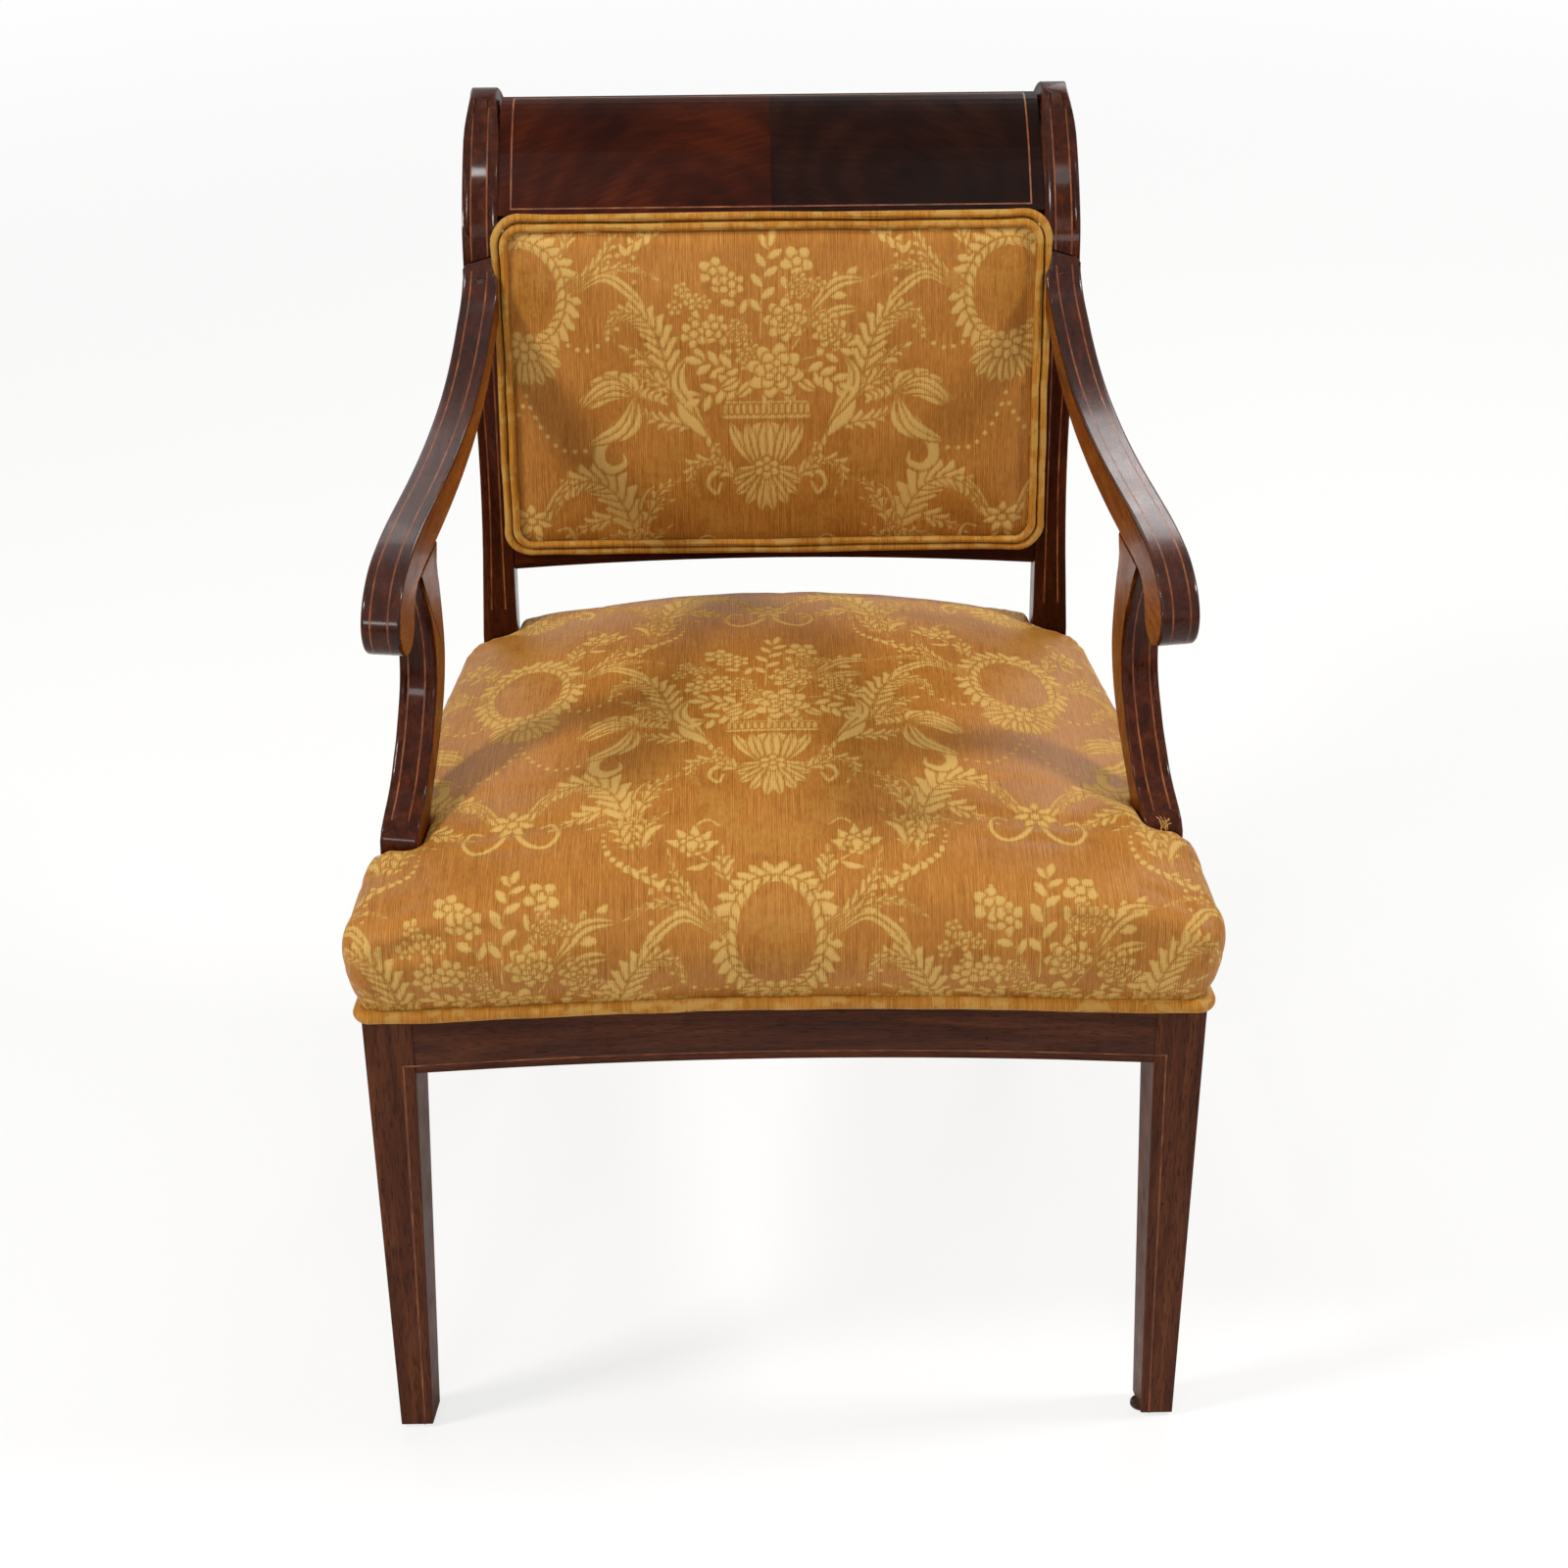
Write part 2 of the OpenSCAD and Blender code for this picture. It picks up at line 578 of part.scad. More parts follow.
// Seat rails
module front_rail_plan() {
  n = 16;
  function x_at(i) = -leg_in + 2 * leg_in * i / n;
  rear = leg_in - side_k * rail_t;
  polygon(concat(
    [for (i = [0 : n]) [x_at(i), bow_at(x_at(i))]],
    [for (i = [n : -1 : 0]) [x_at(i) * rear / leg_in, rail_t + bow_at(x_at(i))]]));
}
module front_rail() {
  color(wood_light) placed() difference() {
    union() {
      translate([0, 0, rail_low]) linear_extrude(rail_h) front_rail_plan();
      rail_tenon(0, rail_t / 2 - 1);
      left_side() rail_tenon(0, rail_t / 2 - 1);
    }
    rail_line(0.5);
    screw_at(screw_a, screw_d, 0);
    left_side() screw_at(screw_a, screw_d, 0);
  }
}
// Boxwood line along the lower edge of the front rail
module rail_line(over) {
  n = 16;
  function x_at(i) = -leg_in + 2 * leg_in * i / n;
  front = [for (i = [0 : n]) [x_at(i), bow_at(x_at(i)) - over]];
  rear = [for (i = [n : -1 : 0]) [x_at(i), bow_at(x_at(i)) + string_deep]];
  translate([0, 0, rail_low + string_edge])
    linear_extrude(string_w)
      polygon(concat(front, rear));
}
module side_rail() {
  difference() {
    union() {
      translate([0, 0, rail_low])
        linear_extrude(rail_h)
          polygon([[side_out(leg_top), leg_top], [side_out(seat_depth), seat_depth],
            [side_in(seat_depth), seat_depth], [side_in(leg_top), leg_top]]);
      side_tenon_front(0);
      side_tenon_rear(0);
    }
    support_tenon(fit_gap);
    screw_at(screw_b, screw_d, 0);
    screw_at(screw_c, screw_d, 0);
  }
}
module support_tenon(g) {
  translate([side_out(support_base) - rail_t / 2 - 2 - tenon_t / 2 - g,
    support_base + 8 - g, rail_top - tenon_len - g])
    cube([tenon_t + 2 * g, support_d - 16 + 2 * g, tenon_len + 4 + g]);
}
module rear_rail() {
  color(wood_dark) placed() difference() {
    union() {
      translate([-post_in, rear_rail_y, rail_low])
        cube([2 * post_in, rail_t, rail_h]);
      rear_rail_tenon(0);
      left_side() rear_rail_tenon(0);
    }
    screw_at(screw_e, screw_d, 0);
    left_side() screw_at(screw_e, screw_d, 0);
  }
}

// Corner braces between the rails, each held by two screws
brace_z = rail_low + (rail_h - brace_h) / 2;
brace_half = brace_w * 0.7;
front_x = leg_in - brace_reach + 16;
front_side_y = brace_reach + 20;
rear_x = post_in - brace_reach + 18;
rear_side_y = seat_depth - brace_reach + 10;
brace_front_in = [[front_x - brace_w, rail_t + bow_at(front_x - brace_w)],
  [side_in(front_side_y + brace_half), front_side_y + brace_half]];
brace_rear_in = [[rear_x - brace_w, rear_rail_y],
  [side_in(rear_side_y - brace_half), rear_side_y - brace_half]];
function between(p, t) = p[0] + (p[1] - p[0]) * t;
// Each screw: its place on the brace, its direction and the way to the rail's face
function screw_way(p, a, face) = [p, a, abs(face) + screw_bite];
screw_pa = between(brace_front_in, 0.24);
screw_a = screw_way(screw_pa, -90, screw_pa[1] - rail_t - bow_at(screw_pa[0]));
screw_pb = between(brace_front_in, 0.84);
screw_b = screw_way(screw_pb, 0, side_in(screw_pb[1]) - screw_pb[0]);
screw_pc = between(brace_rear_in, 0.84);
screw_c = screw_way(screw_pc, 0, side_in(screw_pc[1]) - screw_pc[0]);
screw_pe = between(brace_rear_in, 0.24);
screw_e = screw_way(screw_pe, 90, rear_rail_y - screw_pe[1]);
module screw_at(s, d, head) {
  translate([s[0][0], s[0][1], rail_low + rail_h / 2])
    rotate([0, 90, s[1]]) {
      cylinder(h = s[2], d = d);
      if (head > 0) cylinder(h = screw_head_t, d = head);
      if (head > screw_head_d)
        translate([0, 0, -screw_head_d]) cylinder(h = screw_head_d + screw_head_t, d = head);
    }
}
module brace_front() {
  n = 4;
  x0 = front_x - brace_w;
  x1 = front_x + brace_w / 3;
  seat = [for (i = [0 : n]) let (x = x0 + (x1 - x0) * i / n) [x, rail_t + bow_at(x)]];
  difference() {
    translate([0, 0, brace_z])
      linear_extrude(brace_h)
        polygon(concat(seat, [[side_in(front_side_y - brace_half), front_side_y - brace_half],
          brace_front_in[1]]));
    screw_at(screw_a, screw_d, screw_head_d + 0.2);
    screw_at(screw_b, screw_d, screw_head_d + 0.2);
  }
}
module brace_rear() {
  difference() {
    translate([0, 0, brace_z])
      linear_extrude(brace_h)
        polygon([brace_rear_in[0], brace_rear_in[1],
          [side_in(rear_side_y + brace_half), rear_side_y + brace_half],
          [rear_x + brace_w / 3, rear_rail_y]]);
    screw_at(screw_c, screw_d, screw_head_d + 0.2);
    screw_at(screw_e, screw_d, screw_head_d + 0.2);
  }
}
module screws_front() {
  color(metal) {
    screw_at(screw_a, screw_d, screw_head_d);
    screw_at(screw_b, screw_d, screw_head_d);
  }
}
module screws_rear() {
  color(metal) {
    screw_at(screw_c, screw_d, screw_head_d);
    screw_at(screw_e, screw_d, screw_head_d);
  }
}

// Crest rail, with a veneer in two sheets and a rectangle of boxwood on its front
crest_core = concat(beside(crest_front, veneer_t), [for (i = [1 : len(crest_roll) - 1])
  crest_roll[i]], back_to_front([for (i = [0 : len(crest_under) - 4]) crest_under[i]]));
crest_last = len(crest_front) - 1;
module crest_rail() {
  color(wood_dark) placed() difference() {
    union() {
      slab(crest_core, -post_in, post_in);
      crest_tenon(0);
      left_side() crest_tenon(0);
    }
    crest_lines(0.5);
  }
}
module crest_veneer(x0, x1) {
  difference() {
    slab(band(crest_front, 0, veneer_t), x0, x1);
    crest_lines(0.5);
  }
}
crest_line_at = post_in - string_edge - 3;
module crest_lines(over) {
  rise = [for (i = [1 : crest_last - 1]) crest_front[i]];
  for (x = [-crest_line_at, crest_line_at - string_w])
    slab(band(rise, -over, string_deep), x, x + string_w);
  crest_cross_line(1, string_w, over);
  crest_cross_line(crest_last - 1, -string_w, over);
}
module crest_cross_line(i, w, over) {
  t = dir_at(crest_front, i);
  out = -1 * right_of(t);
  a = crest_front[i];
  b = a + w * t;
  slab([a + over * out, b + over * out, b - string_deep * out, a - string_deep * out],
    -crest_line_at + string_w, crest_line_at - string_w);
}
module crest_stringing() {
  color(boxwood) placed() crest_lines(0);
}

// Lower back rail: arched below, with a lip in front under the padded back
module lower_back_rail() {
  n = 12;
  function arch(x) = back_rail_arch * (1 - pow(x / post_in, 2));
  low = [for (i = [0 : n]) let (x = -post_in + 2 * post_in * i / n)
    [x, back_rail_v + arch(x)]];
  step = back_pad_depth + hessian_t;
  color(wood_dark) placed() union() {
    in_back_plane() {
      translate([0, 0, -back_rail_t])
        linear_extrude(back_rail_t - step)
          polygon(concat(low, [[post_in, back_rail_v + back_rail_h],
            [-post_in, back_rail_v + back_rail_h]]));
      translate([0, 0, -step])
        linear_extrude(step - 1)
          polygon(concat(low, [[post_in, pad_low + pad_edge - soft_gap],
            [-post_in, pad_low + pad_edge - soft_gap]]));
    }
    back_rail_tenon(0);
    left_side() back_rail_tenon(0);
  }
}

// Arm: one curved piece that ends in a rolled scroll
module arm_body(side) {
  in_arm_plane() slab(arm_side, -arm_w - side, side);
}
module post_face_cut() {
  slab(concat(front_part(arm_join - 90, arm_join + 40), [[arm_end + 90, arm_join + 40],
    [arm_end + 90, arm_join - 90]]), post_in - 40, back_half + 40);
}
module arm() {
  difference() {
    union() {
      difference() {
        arm_body(0);
        post_face_cut();
      }
      arm_tenon(0);
    }
    support_top_tenon(fit_gap);
    back_cord_rebate();
    arm_lines(0.5);
  }
}
// Shallow rebate at the arm's inner corner for the outer cord of the padded back
module back_cord_rebate() {
  in_back_plane()
    translate([post_in - 2, up_back(arm_join - 60), -4])
      cube([back_cord_lap + soft_gap + 2, 90, back_cord_d + 2 * soft_gap + 4]);
}
arm_line = [for (i = [4 : 66]) arm_top[i]];
module arm_lines(over) {
  for (x = [string_out, string_out + string_gap])
    in_arm_plane()
      slab(band(arm_line, over, -string_deep), -x - string_w, -x);
}

// Arm support: bowed backwards, tenoned into the arm and into the side rail
module support_top_tenon(g) {
  in_arm_plane()
    translate([-arm_w / 2 - tenon_t / 2 - g, (support_base + 68) / cos(arm_a) - g,
      arm_level - arm_d - 5])
      cube([tenon_t + 2 * g, 16 + 2 * g, 15 + g]);
}
module arm_support() {
  difference() {
    union() {
      difference() {
        in_support_plane() slab(support_side, -arm_w, 0);
        arm_body(6);
        translate([0, 0, rail_top - 20]) cube([front_w, seat_depth, 20]);
      }
      support_top_tenon(0);
      support_tenon(0);
    }
    support_lines(0.5);
  }
}
support_line = [for (i = [6 : 31]) support_front[i]];
module support_lines(over) {
  for (x = [string_out, string_out + string_gap])
    in_support_plane()
      slab(band(support_line, -over, string_deep), -x - string_w, -x);
}

// Layers of the seat: a plan set in from the outside of the rails by d
module lay_plan(d) {
  n = 8;
  x1 = side_out(d) - d / cos(side_a);
  x2 = side_out(seat_depth - 1) - d / cos(side_a);
  front = [for (i = [0 : n]) let (x = -x1 + 2 * x1 * i / n) [x, d + max(0, bow_at(x))]];
  // Cut back to the inside of the rail behind and beside each arm support
  ya = support_base - 2;
  yb = support_base + support_d + 2;
  right = [[side_out(ya) - d / cos(side_a), ya], [side_in(ya) - 1, ya], [side_in(yb) - 1, yb],
    [side_out(yb) - d / cos(side_a), yb], [x2, seat_depth - 1], [post_in - 1, seat_depth - 1],
    [post_in - 1, seat_back - d]];
  polygon(concat(front, right, back_to_front([for (q = right) [-q[0], q[1]]])));
}
module seat_webbing_across() {
  // One strip in front of the arm supports, the others behind them
  y0 = support_base - 3 - web_w;
  y1 = support_base + support_d + 4;
  pitch = (seat_depth - 6 - web_w - y1) / (web_count - 2);
  color(jute) placed() translate([0, 0, web_z])
    linear_extrude(web_t)
      for (i = [0 : web_count - 1])
        let (a = i == 0 ? y0 : y1 + (i - 1) * pitch)
        let (xa = side_out(a) - lay_in / cos(side_a))
        let (xb = side_out(a + web_w) - lay_in / cos(side_a))
        polygon([[-xa, a], [xa, a], [xb, a + web_w], [-xb, a + web_w]]);
}
module seat_webbing_along() {
  x0 = post_in - 8;
  pitch = (2 * x0 - web_w) / (web_count - 1);
  color(jute) placed() translate([0, 0, web_z + web_t])
    linear_extrude(web_t)
      for (i = [0 : web_count - 1])
        let (a = -x0 + i * pitch)
        let (b = a + web_w)
        polygon([[a, lay_in + bow_at(a)], [b, lay_in + bow_at(b)], [b, seat_back - lay_in],
          [a, seat_back - lay_in]]);
}
module seat_hessian() {
  color(linen) placed() translate([0, 0, hessian_z])
    linear_extrude(hessian_t)
      lay_plan(lay_in);
}
module seat_stuffing() {
  color(linen) placed() translate([0, 0, stuffing_z])
    linear_extrude(stuffing_t)
      lay_plan(lay_in);
}

// Cover with its second stuffing: edge roll, crown, and cuts round posts and supports
module seat_cover() {
  color(damask) placed() difference() {
    skin(seat_points, seat_tip);
    translate([0, 0, rail_top - 1])
      linear_extrude(stuffing_top - rail_top + 1 + soft_gap)
        lay_plan(lay_in - soft_gap);
    cover_cuts();
    left_side() cover_cuts();
  }
}
module cover_cuts() {
  g = soft_gap;
  y1 = seat_back + 60;
  z1 = rail_top + 160;
  slab([[seat_depth - g, rail_top - 5], [seat_depth - g, rake_z], [post_y(z1) - g, z1],
    [y1, z1], [y1, rail_top - 5]], post_in - g, post_in + 90);
  d = support_d + g;
  in_support_plane()
    slab(on_support([[-g, -4], [-g, 54], [-g, 86], [13 - g, 95 + g], [29 - g, 102 + g],
      [53 - g, 119 + g], [80 - g, 152], [80 + d, 152], [62 + d, 119], [40 + d, 100],
      [18 + d, 80], [4 + d, 54], [d, 24], [d, -4]]),
      -arm_w - g, g);
}

// Cord along the lower edge of the cover, from post to post round the front
seat_cord_r = seat_cord_d / 2;
cord_steps = 5;
cord_along = 9;
cord_ring_plan = plan_ring(seat_corners, seat_cord_out,
  [3 + seat_cord_r, 3 + seat_cord_r, 20, 20], cord_steps, cord_along);
cord_end_y = seat_depth - 1;
cord_end_x = side_out(cord_end_y) + seat_cord_out / cos(side_a);
cord_z = rail_top + soft_gap + seat_cord_r;
seat_cord_route = concat([[-cord_end_x, cord_end_y, cord_z]],
  [for (i = [0 : 2 * cord_steps + cord_along + 1]) let (q = bowed(cord_ring_plan[i]))
    [q[0], q[1], cord_z]], [[cord_end_x, cord_end_y, cord_z]]);
module seat_cord() {
  color(damask) placed() difference() {
    cord(seat_cord_route, [0, 0, 1], seat_cord_r, false);
    cord_stop();
    left_side() cord_stop();
  }
}
// The cord stops at the foot of each arm support and goes on behind it
module cord_stop() {
  g = soft_gap;
  foot = on_support([[-g, -2], [support_d + g, -2], [support_d + g, 20], [-g, 20]]);
  in_support_plane() slab(foot, -arm_w, 2 * seat_cord_d);
}

// Inner frame of the back, its webbing and hessian
module back_stile() {
  in_back_plane()
    translate([post_in - batten_w, frame_low, batten_n])
      cube([batten_w, frame_high - frame_low, batten_t]);
}
module back_batten(v) {
  color(wood_light) placed() in_back_plane()
    translate([batten_w - post_in, v, batten_n])
      cube([2 * (post_in - batten_w), batten_w, batten_t]);
}
module back_webbing_across() {
  pitch = (frame_high - frame_low - batten_w - web_w) / back_webs_across;
  color(jute) placed() in_back_plane()
    for (i = [0 : back_webs_across - 1])
      translate([6 - post_in, frame_low + batten_w / 2 + pitch * (i + 0.5), web2_n])
        cube([2 * post_in - 12, web_w, web_t]);
}
module back_webbing_along() {
  pitch = (2 * post_in - 2 * batten_w) / back_webs_up;
  color(jute) placed() in_back_plane()
    for (i = [0 : back_webs_up - 1])
      translate([batten_w - post_in + pitch * (i + 0.5) - web_w / 2, frame_low + 4, web_n])
        cube([web_w, frame_high - frame_low - 8, web_t]);
}
module back_hessian() {
  color(linen) placed() in_back_plane()
    translate([4 - post_in, frame_low + 2, hessian_n])
      cube([2 * post_in - 8, frame_high - frame_low - 4, hessian_t]);
}

// Padded back: each ring's set-in, its rise, and its corner radius
back_rings = [[0, -back_pad_depth, 1], [0, -0.5, 1], [2.5, 1, 1], [8.5, 1.3, 0.95],
  [11.5, 4, 0.9], [20, 0.42 * back_crown, 1.2], [36, 0.64 * back_crown, 1.6]];
back_steps = 7;
back_along = 6;
function back_ring(k) =
  let (r = back_pad_r * back_rings[k][2])
  [for (q = plan_ring(pad_corners, -back_rings[k][0], [r, r, r, r], back_steps, back_along))
    [q[0], q[1], back_rings[k][1]]];
// Above the bend of the posts the front of the pad follows their curve
pad_bend_z = scroll_front[2][1] * scroll_rise;
pad_bend_k = (scroll_front[2][0] * scroll_back - pad_bend_z * tan(back_rake))
  / pow(pad_bend_z, 1.7);
function pad_bent(q) = [q[0], q[1],
  q[2] - pad_bend_k * pow(max(0, q[1] - up_back(post_bend)), 1.7)];
back_last = back_ring(len(back_rings) - 1);
back_mid_v = (pad_low + pad_high) / 2;
back_top_n = back_rings[len(back_rings) - 1][1];
back_tops = 6;
back_points = concat(
  [back_ring(0)],
  [for (k = [1 : len(back_rings) - 1]) [for (q = back_ring(k)) pad_bent(q)]],
  [for (k = [1 : back_tops]) let (s = 1 - k / (back_tops + 0.7)) [for (q = back_last)
    pad_bent([s * q[0], back_mid_v + s * (q[1] - back_mid_v),
    back_top_n + (back_crown - back_top_n) * (1 - pow(s, 2))])]]);
back_tip = [[0, back_mid_v, -back_pad_depth], [0, back_mid_v, back_crown]];
module back_pad() {
  color(damask) placed() in_back_plane() skin(back_points, back_tip);
}
module back_cord(d, n) {
  ring = plan_ring(pad_corners, d, [for (i = [0 : 3]) back_pad_r + d], back_steps, 1);
  color(damask) placed() in_back_plane()
    cord([for (q = ring) pad_bent([q[0], q[1], n])], [0, 0, 1], back_cord_d / 2, true);
}
module outside_back() {
  color(damask) placed() in_back_plane()
    translate([1 - post_in, frame_low, batten_n - outside_cloth_t])
      cube([2 * post_in - 2, frame_high - frame_low, outside_cloth_t]);
}

// Glide: a flat-bottomed dome, nailed under each foot
module glide(x, y) {
  color(metal) placed() translate([x, y, 0])
    rotate_extrude()
      polygon([[0, 0], [0.75 * glide_d / 2, 0], [glide_d / 2, glide_h / 2],
        [glide_d / 2, glide_h], [0, glide_h]]);
}
front_glide_x = front_half - leg_foot / 2 - side_k * leg_foot / 2;
front_glide_y = leg_foot / 2;
rear_glide_x = back_half - post_w / 2;
rear_glide_y = seat_depth + foot_sweep + rear_foot_d / 2;

// The named pieces
module front_leg_left() {
  color(wood_light) placed() left_side() front_leg();
}
module front_leg_right() {
  color(wood_light) placed() front_leg();
}
module rear_leg_left() {
  color(wood_dark) placed() left_side() rear_leg();
}
module rear_leg_right() {
  color(wood_dark) placed() rear_leg();
}
module side_rail_left() {
  color(wood_light) placed() left_side() side_rail();
}
module side_rail_right() {
  color(wood_light) placed() side_rail();
}
module brace_front_left() {
  color(wood_light) placed() left_side() brace_front();
}
module brace_front_right() {
  color(wood_light) placed() brace_front();
}
module brace_rear_left() {
  color(wood_light) placed() left_side() brace_rear();
}
module brace_rear_right() {
  color(wood_light) placed() brace_rear();
}
module screws_front_left() {
  placed() left_side() screws_front();
}
module screws_front_right() {
  placed() screws_front();
}
module screws_rear_left() {
  placed() left_side() screws_rear();
}
module screws_rear_right() {
  placed() screws_rear();
}
module crest_veneer_left() {
  color("#8a4a20") placed() crest_veneer(-post_in, 0);
}
module crest_veneer_right() {
  color(wood_dark) placed() crest_veneer(0, post_in);
}
module arm_left() {
  color(wood_dark) placed() left_side() arm();
}
module arm_right() {
  color(wood_dark) placed() arm();
}
module arm_support_left() {
  color(wood_dark) placed() left_side() arm_support();
}
module arm_support_right() {
  color(wood_dark) placed() arm_support();
}
module post_stringing_left() {
  color(boxwood) placed() left_side() post_lines(0);
}
module post_stringing_right() {
  color(boxwood) placed() post_lines(0);
}
module arm_stringing_left() {
  color(boxwood) placed() left_side() arm_lines(0);
}
module arm_stringing_right() {
  color(boxwood) placed() arm_lines(0);
}
module support_stringing_left() {
  color(boxwood) placed() left_side() support_lines(0);
}
module support_stringing_right() {
  color(boxwood) placed() support_lines(0);
}
module rail_stringing() {
  color(boxwood) placed() rail_line(0);
}
module leg_stringing_left() {
  color(boxwood) placed() left_side() leg_line(0);
}
module leg_stringing_right() {
  color(boxwood) placed() leg_line(0);
}
module back_stile_left() {
  color(wood_light) placed() left_side() back_stile();
}
module back_stile_right() {
  color(wood_light) placed() back_stile();
}
module back_batten_top() {
  back_batten(frame_high - batten_w);
}
module back_batten_bottom() {
  back_batten(frame_low);
}
module back_cord_outer() {
  back_cord(pad_edge - back_cord_d / 2, back_cord_d / 2 + soft_gap);
}
module back_cord_inner() {
  back_cord(-5.2, back_cord_d / 2 + 1.3 + soft_gap);
}
module glide_front_left() {
  glide(-front_glide_x, front_glide_y);
}
module glide_front_right() {
  glide(front_glide_x - glide_shift, front_glide_y);
}
module glide_rear_left() {
  glide(-rear_glide_x, rear_glide_y);
}
module glide_rear_right() {
  glide(rear_glide_x, rear_glide_y);
}

front_leg_left();
front_leg_right();
rear_leg_left();
rear_leg_right();
front_rail();
side_rail_left();
side_rail_right();
rear_rail();
brace_front_left();
brace_front_right();
brace_rear_left();
brace_rear_right();
screws_front_left();
screws_front_right();
screws_rear_left();
screws_rear_right();
crest_rail();
crest_veneer_left();
crest_veneer_right();
lower_back_rail();
arm_left();
arm_right();
arm_support_left();
arm_support_right();
crest_stringing();
post_stringing_left();
post_stringing_right();
arm_stringing_left();
arm_stringing_right();
support_stringing_left();
support_stringing_right();
rail_stringing();
leg_stringing_left();
leg_stringing_right();
seat_webbing_across();
seat_webbing_along();
seat_hessian();
seat_stuffing();
seat_cover();
seat_cord();
back_stile_left();
back_stile_right();
back_batten_top();
back_batten_bottom();
back_webbing_across();
back_webbing_along();
back_hessian();
back_pad();
back_cord_outer();
back_cord_inner();
outside_back();
glide_front_left();
glide_front_right();
glide_rear_left();
glide_rear_right();
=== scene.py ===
import bmesh
import bpy
import math
import numpy as np
from mathutils import Matrix, Vector
from mathutils.bvhtree import BVHTree


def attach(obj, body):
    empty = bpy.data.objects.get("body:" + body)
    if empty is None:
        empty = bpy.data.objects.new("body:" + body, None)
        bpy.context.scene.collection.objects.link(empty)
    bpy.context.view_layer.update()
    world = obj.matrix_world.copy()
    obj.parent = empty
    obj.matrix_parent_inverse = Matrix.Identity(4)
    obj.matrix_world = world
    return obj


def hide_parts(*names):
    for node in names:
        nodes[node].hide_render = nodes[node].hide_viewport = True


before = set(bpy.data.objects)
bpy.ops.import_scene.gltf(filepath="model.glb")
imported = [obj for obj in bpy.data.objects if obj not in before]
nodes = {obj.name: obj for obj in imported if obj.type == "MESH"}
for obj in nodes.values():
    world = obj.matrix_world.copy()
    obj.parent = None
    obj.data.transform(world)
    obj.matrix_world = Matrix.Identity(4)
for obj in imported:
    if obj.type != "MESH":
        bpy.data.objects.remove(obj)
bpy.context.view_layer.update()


# ---------------------------------------------
# Front legs and seat rails. Solid mahogany, sawn and planed square, tapered
# on their inner faces and finished with shellac that has dulled to a milky
# brown. A few old worm holes show on the front of the rail and the legs.
# ---------------------------------------------

def linear(hex_colour):
    """An sRGB hex colour as the linear colour that a shader takes."""
    out = []
    for i in (1, 3, 5):
        c = int(hex_colour[i:i + 2], 16) / 255
        out.append(c / 12.92 if c <= 0.04045 else ((c + 0.055) / 1.055) ** 2.4)
    return (*out, 1.0)


def add(tree, kind, *values, out=0, stops=(), **named):
    """Adds a node and gives one of its outputs. Values are numbers or outputs
    for its sockets in turn; a name with a capital is a socket too, i6 is
    socket 6, and other names are settings. The stops of a colour ramp are
    pairs of a place and an sRGB hex or a grey."""
    node = tree.nodes.new("ShaderNode" + kind)
    if stops:
        marks = node.color_ramp.elements
        for _ in stops[2:]:
            marks.new(0.5)
        for mark, (place, colour) in zip(marks, stops):
            mark.position = place
            mark.color = linear(colour) if isinstance(colour, str) else (colour, colour, colour, 1)
    sockets = dict(enumerate(values))
    for name, value in named.items():
        if name[0].isupper():
            sockets[name.replace("_", " ")] = value
        elif name[1:].isdigit():
            sockets[int(name[1:])] = value
        else:
            setattr(node, name, value)
    for key, value in sockets.items():
        if isinstance(value, bpy.types.NodeSocket):
            tree.links.new(value, node.inputs[key])
        else:
            node.inputs[key].default_value = value
    return node.outputs[out] if node.outputs else None


def new_material(name):
    material = bpy.data.materials.new(name)
    material.use_nodes = True
    material.node_tree.nodes.clear()
    return material, material.node_tree


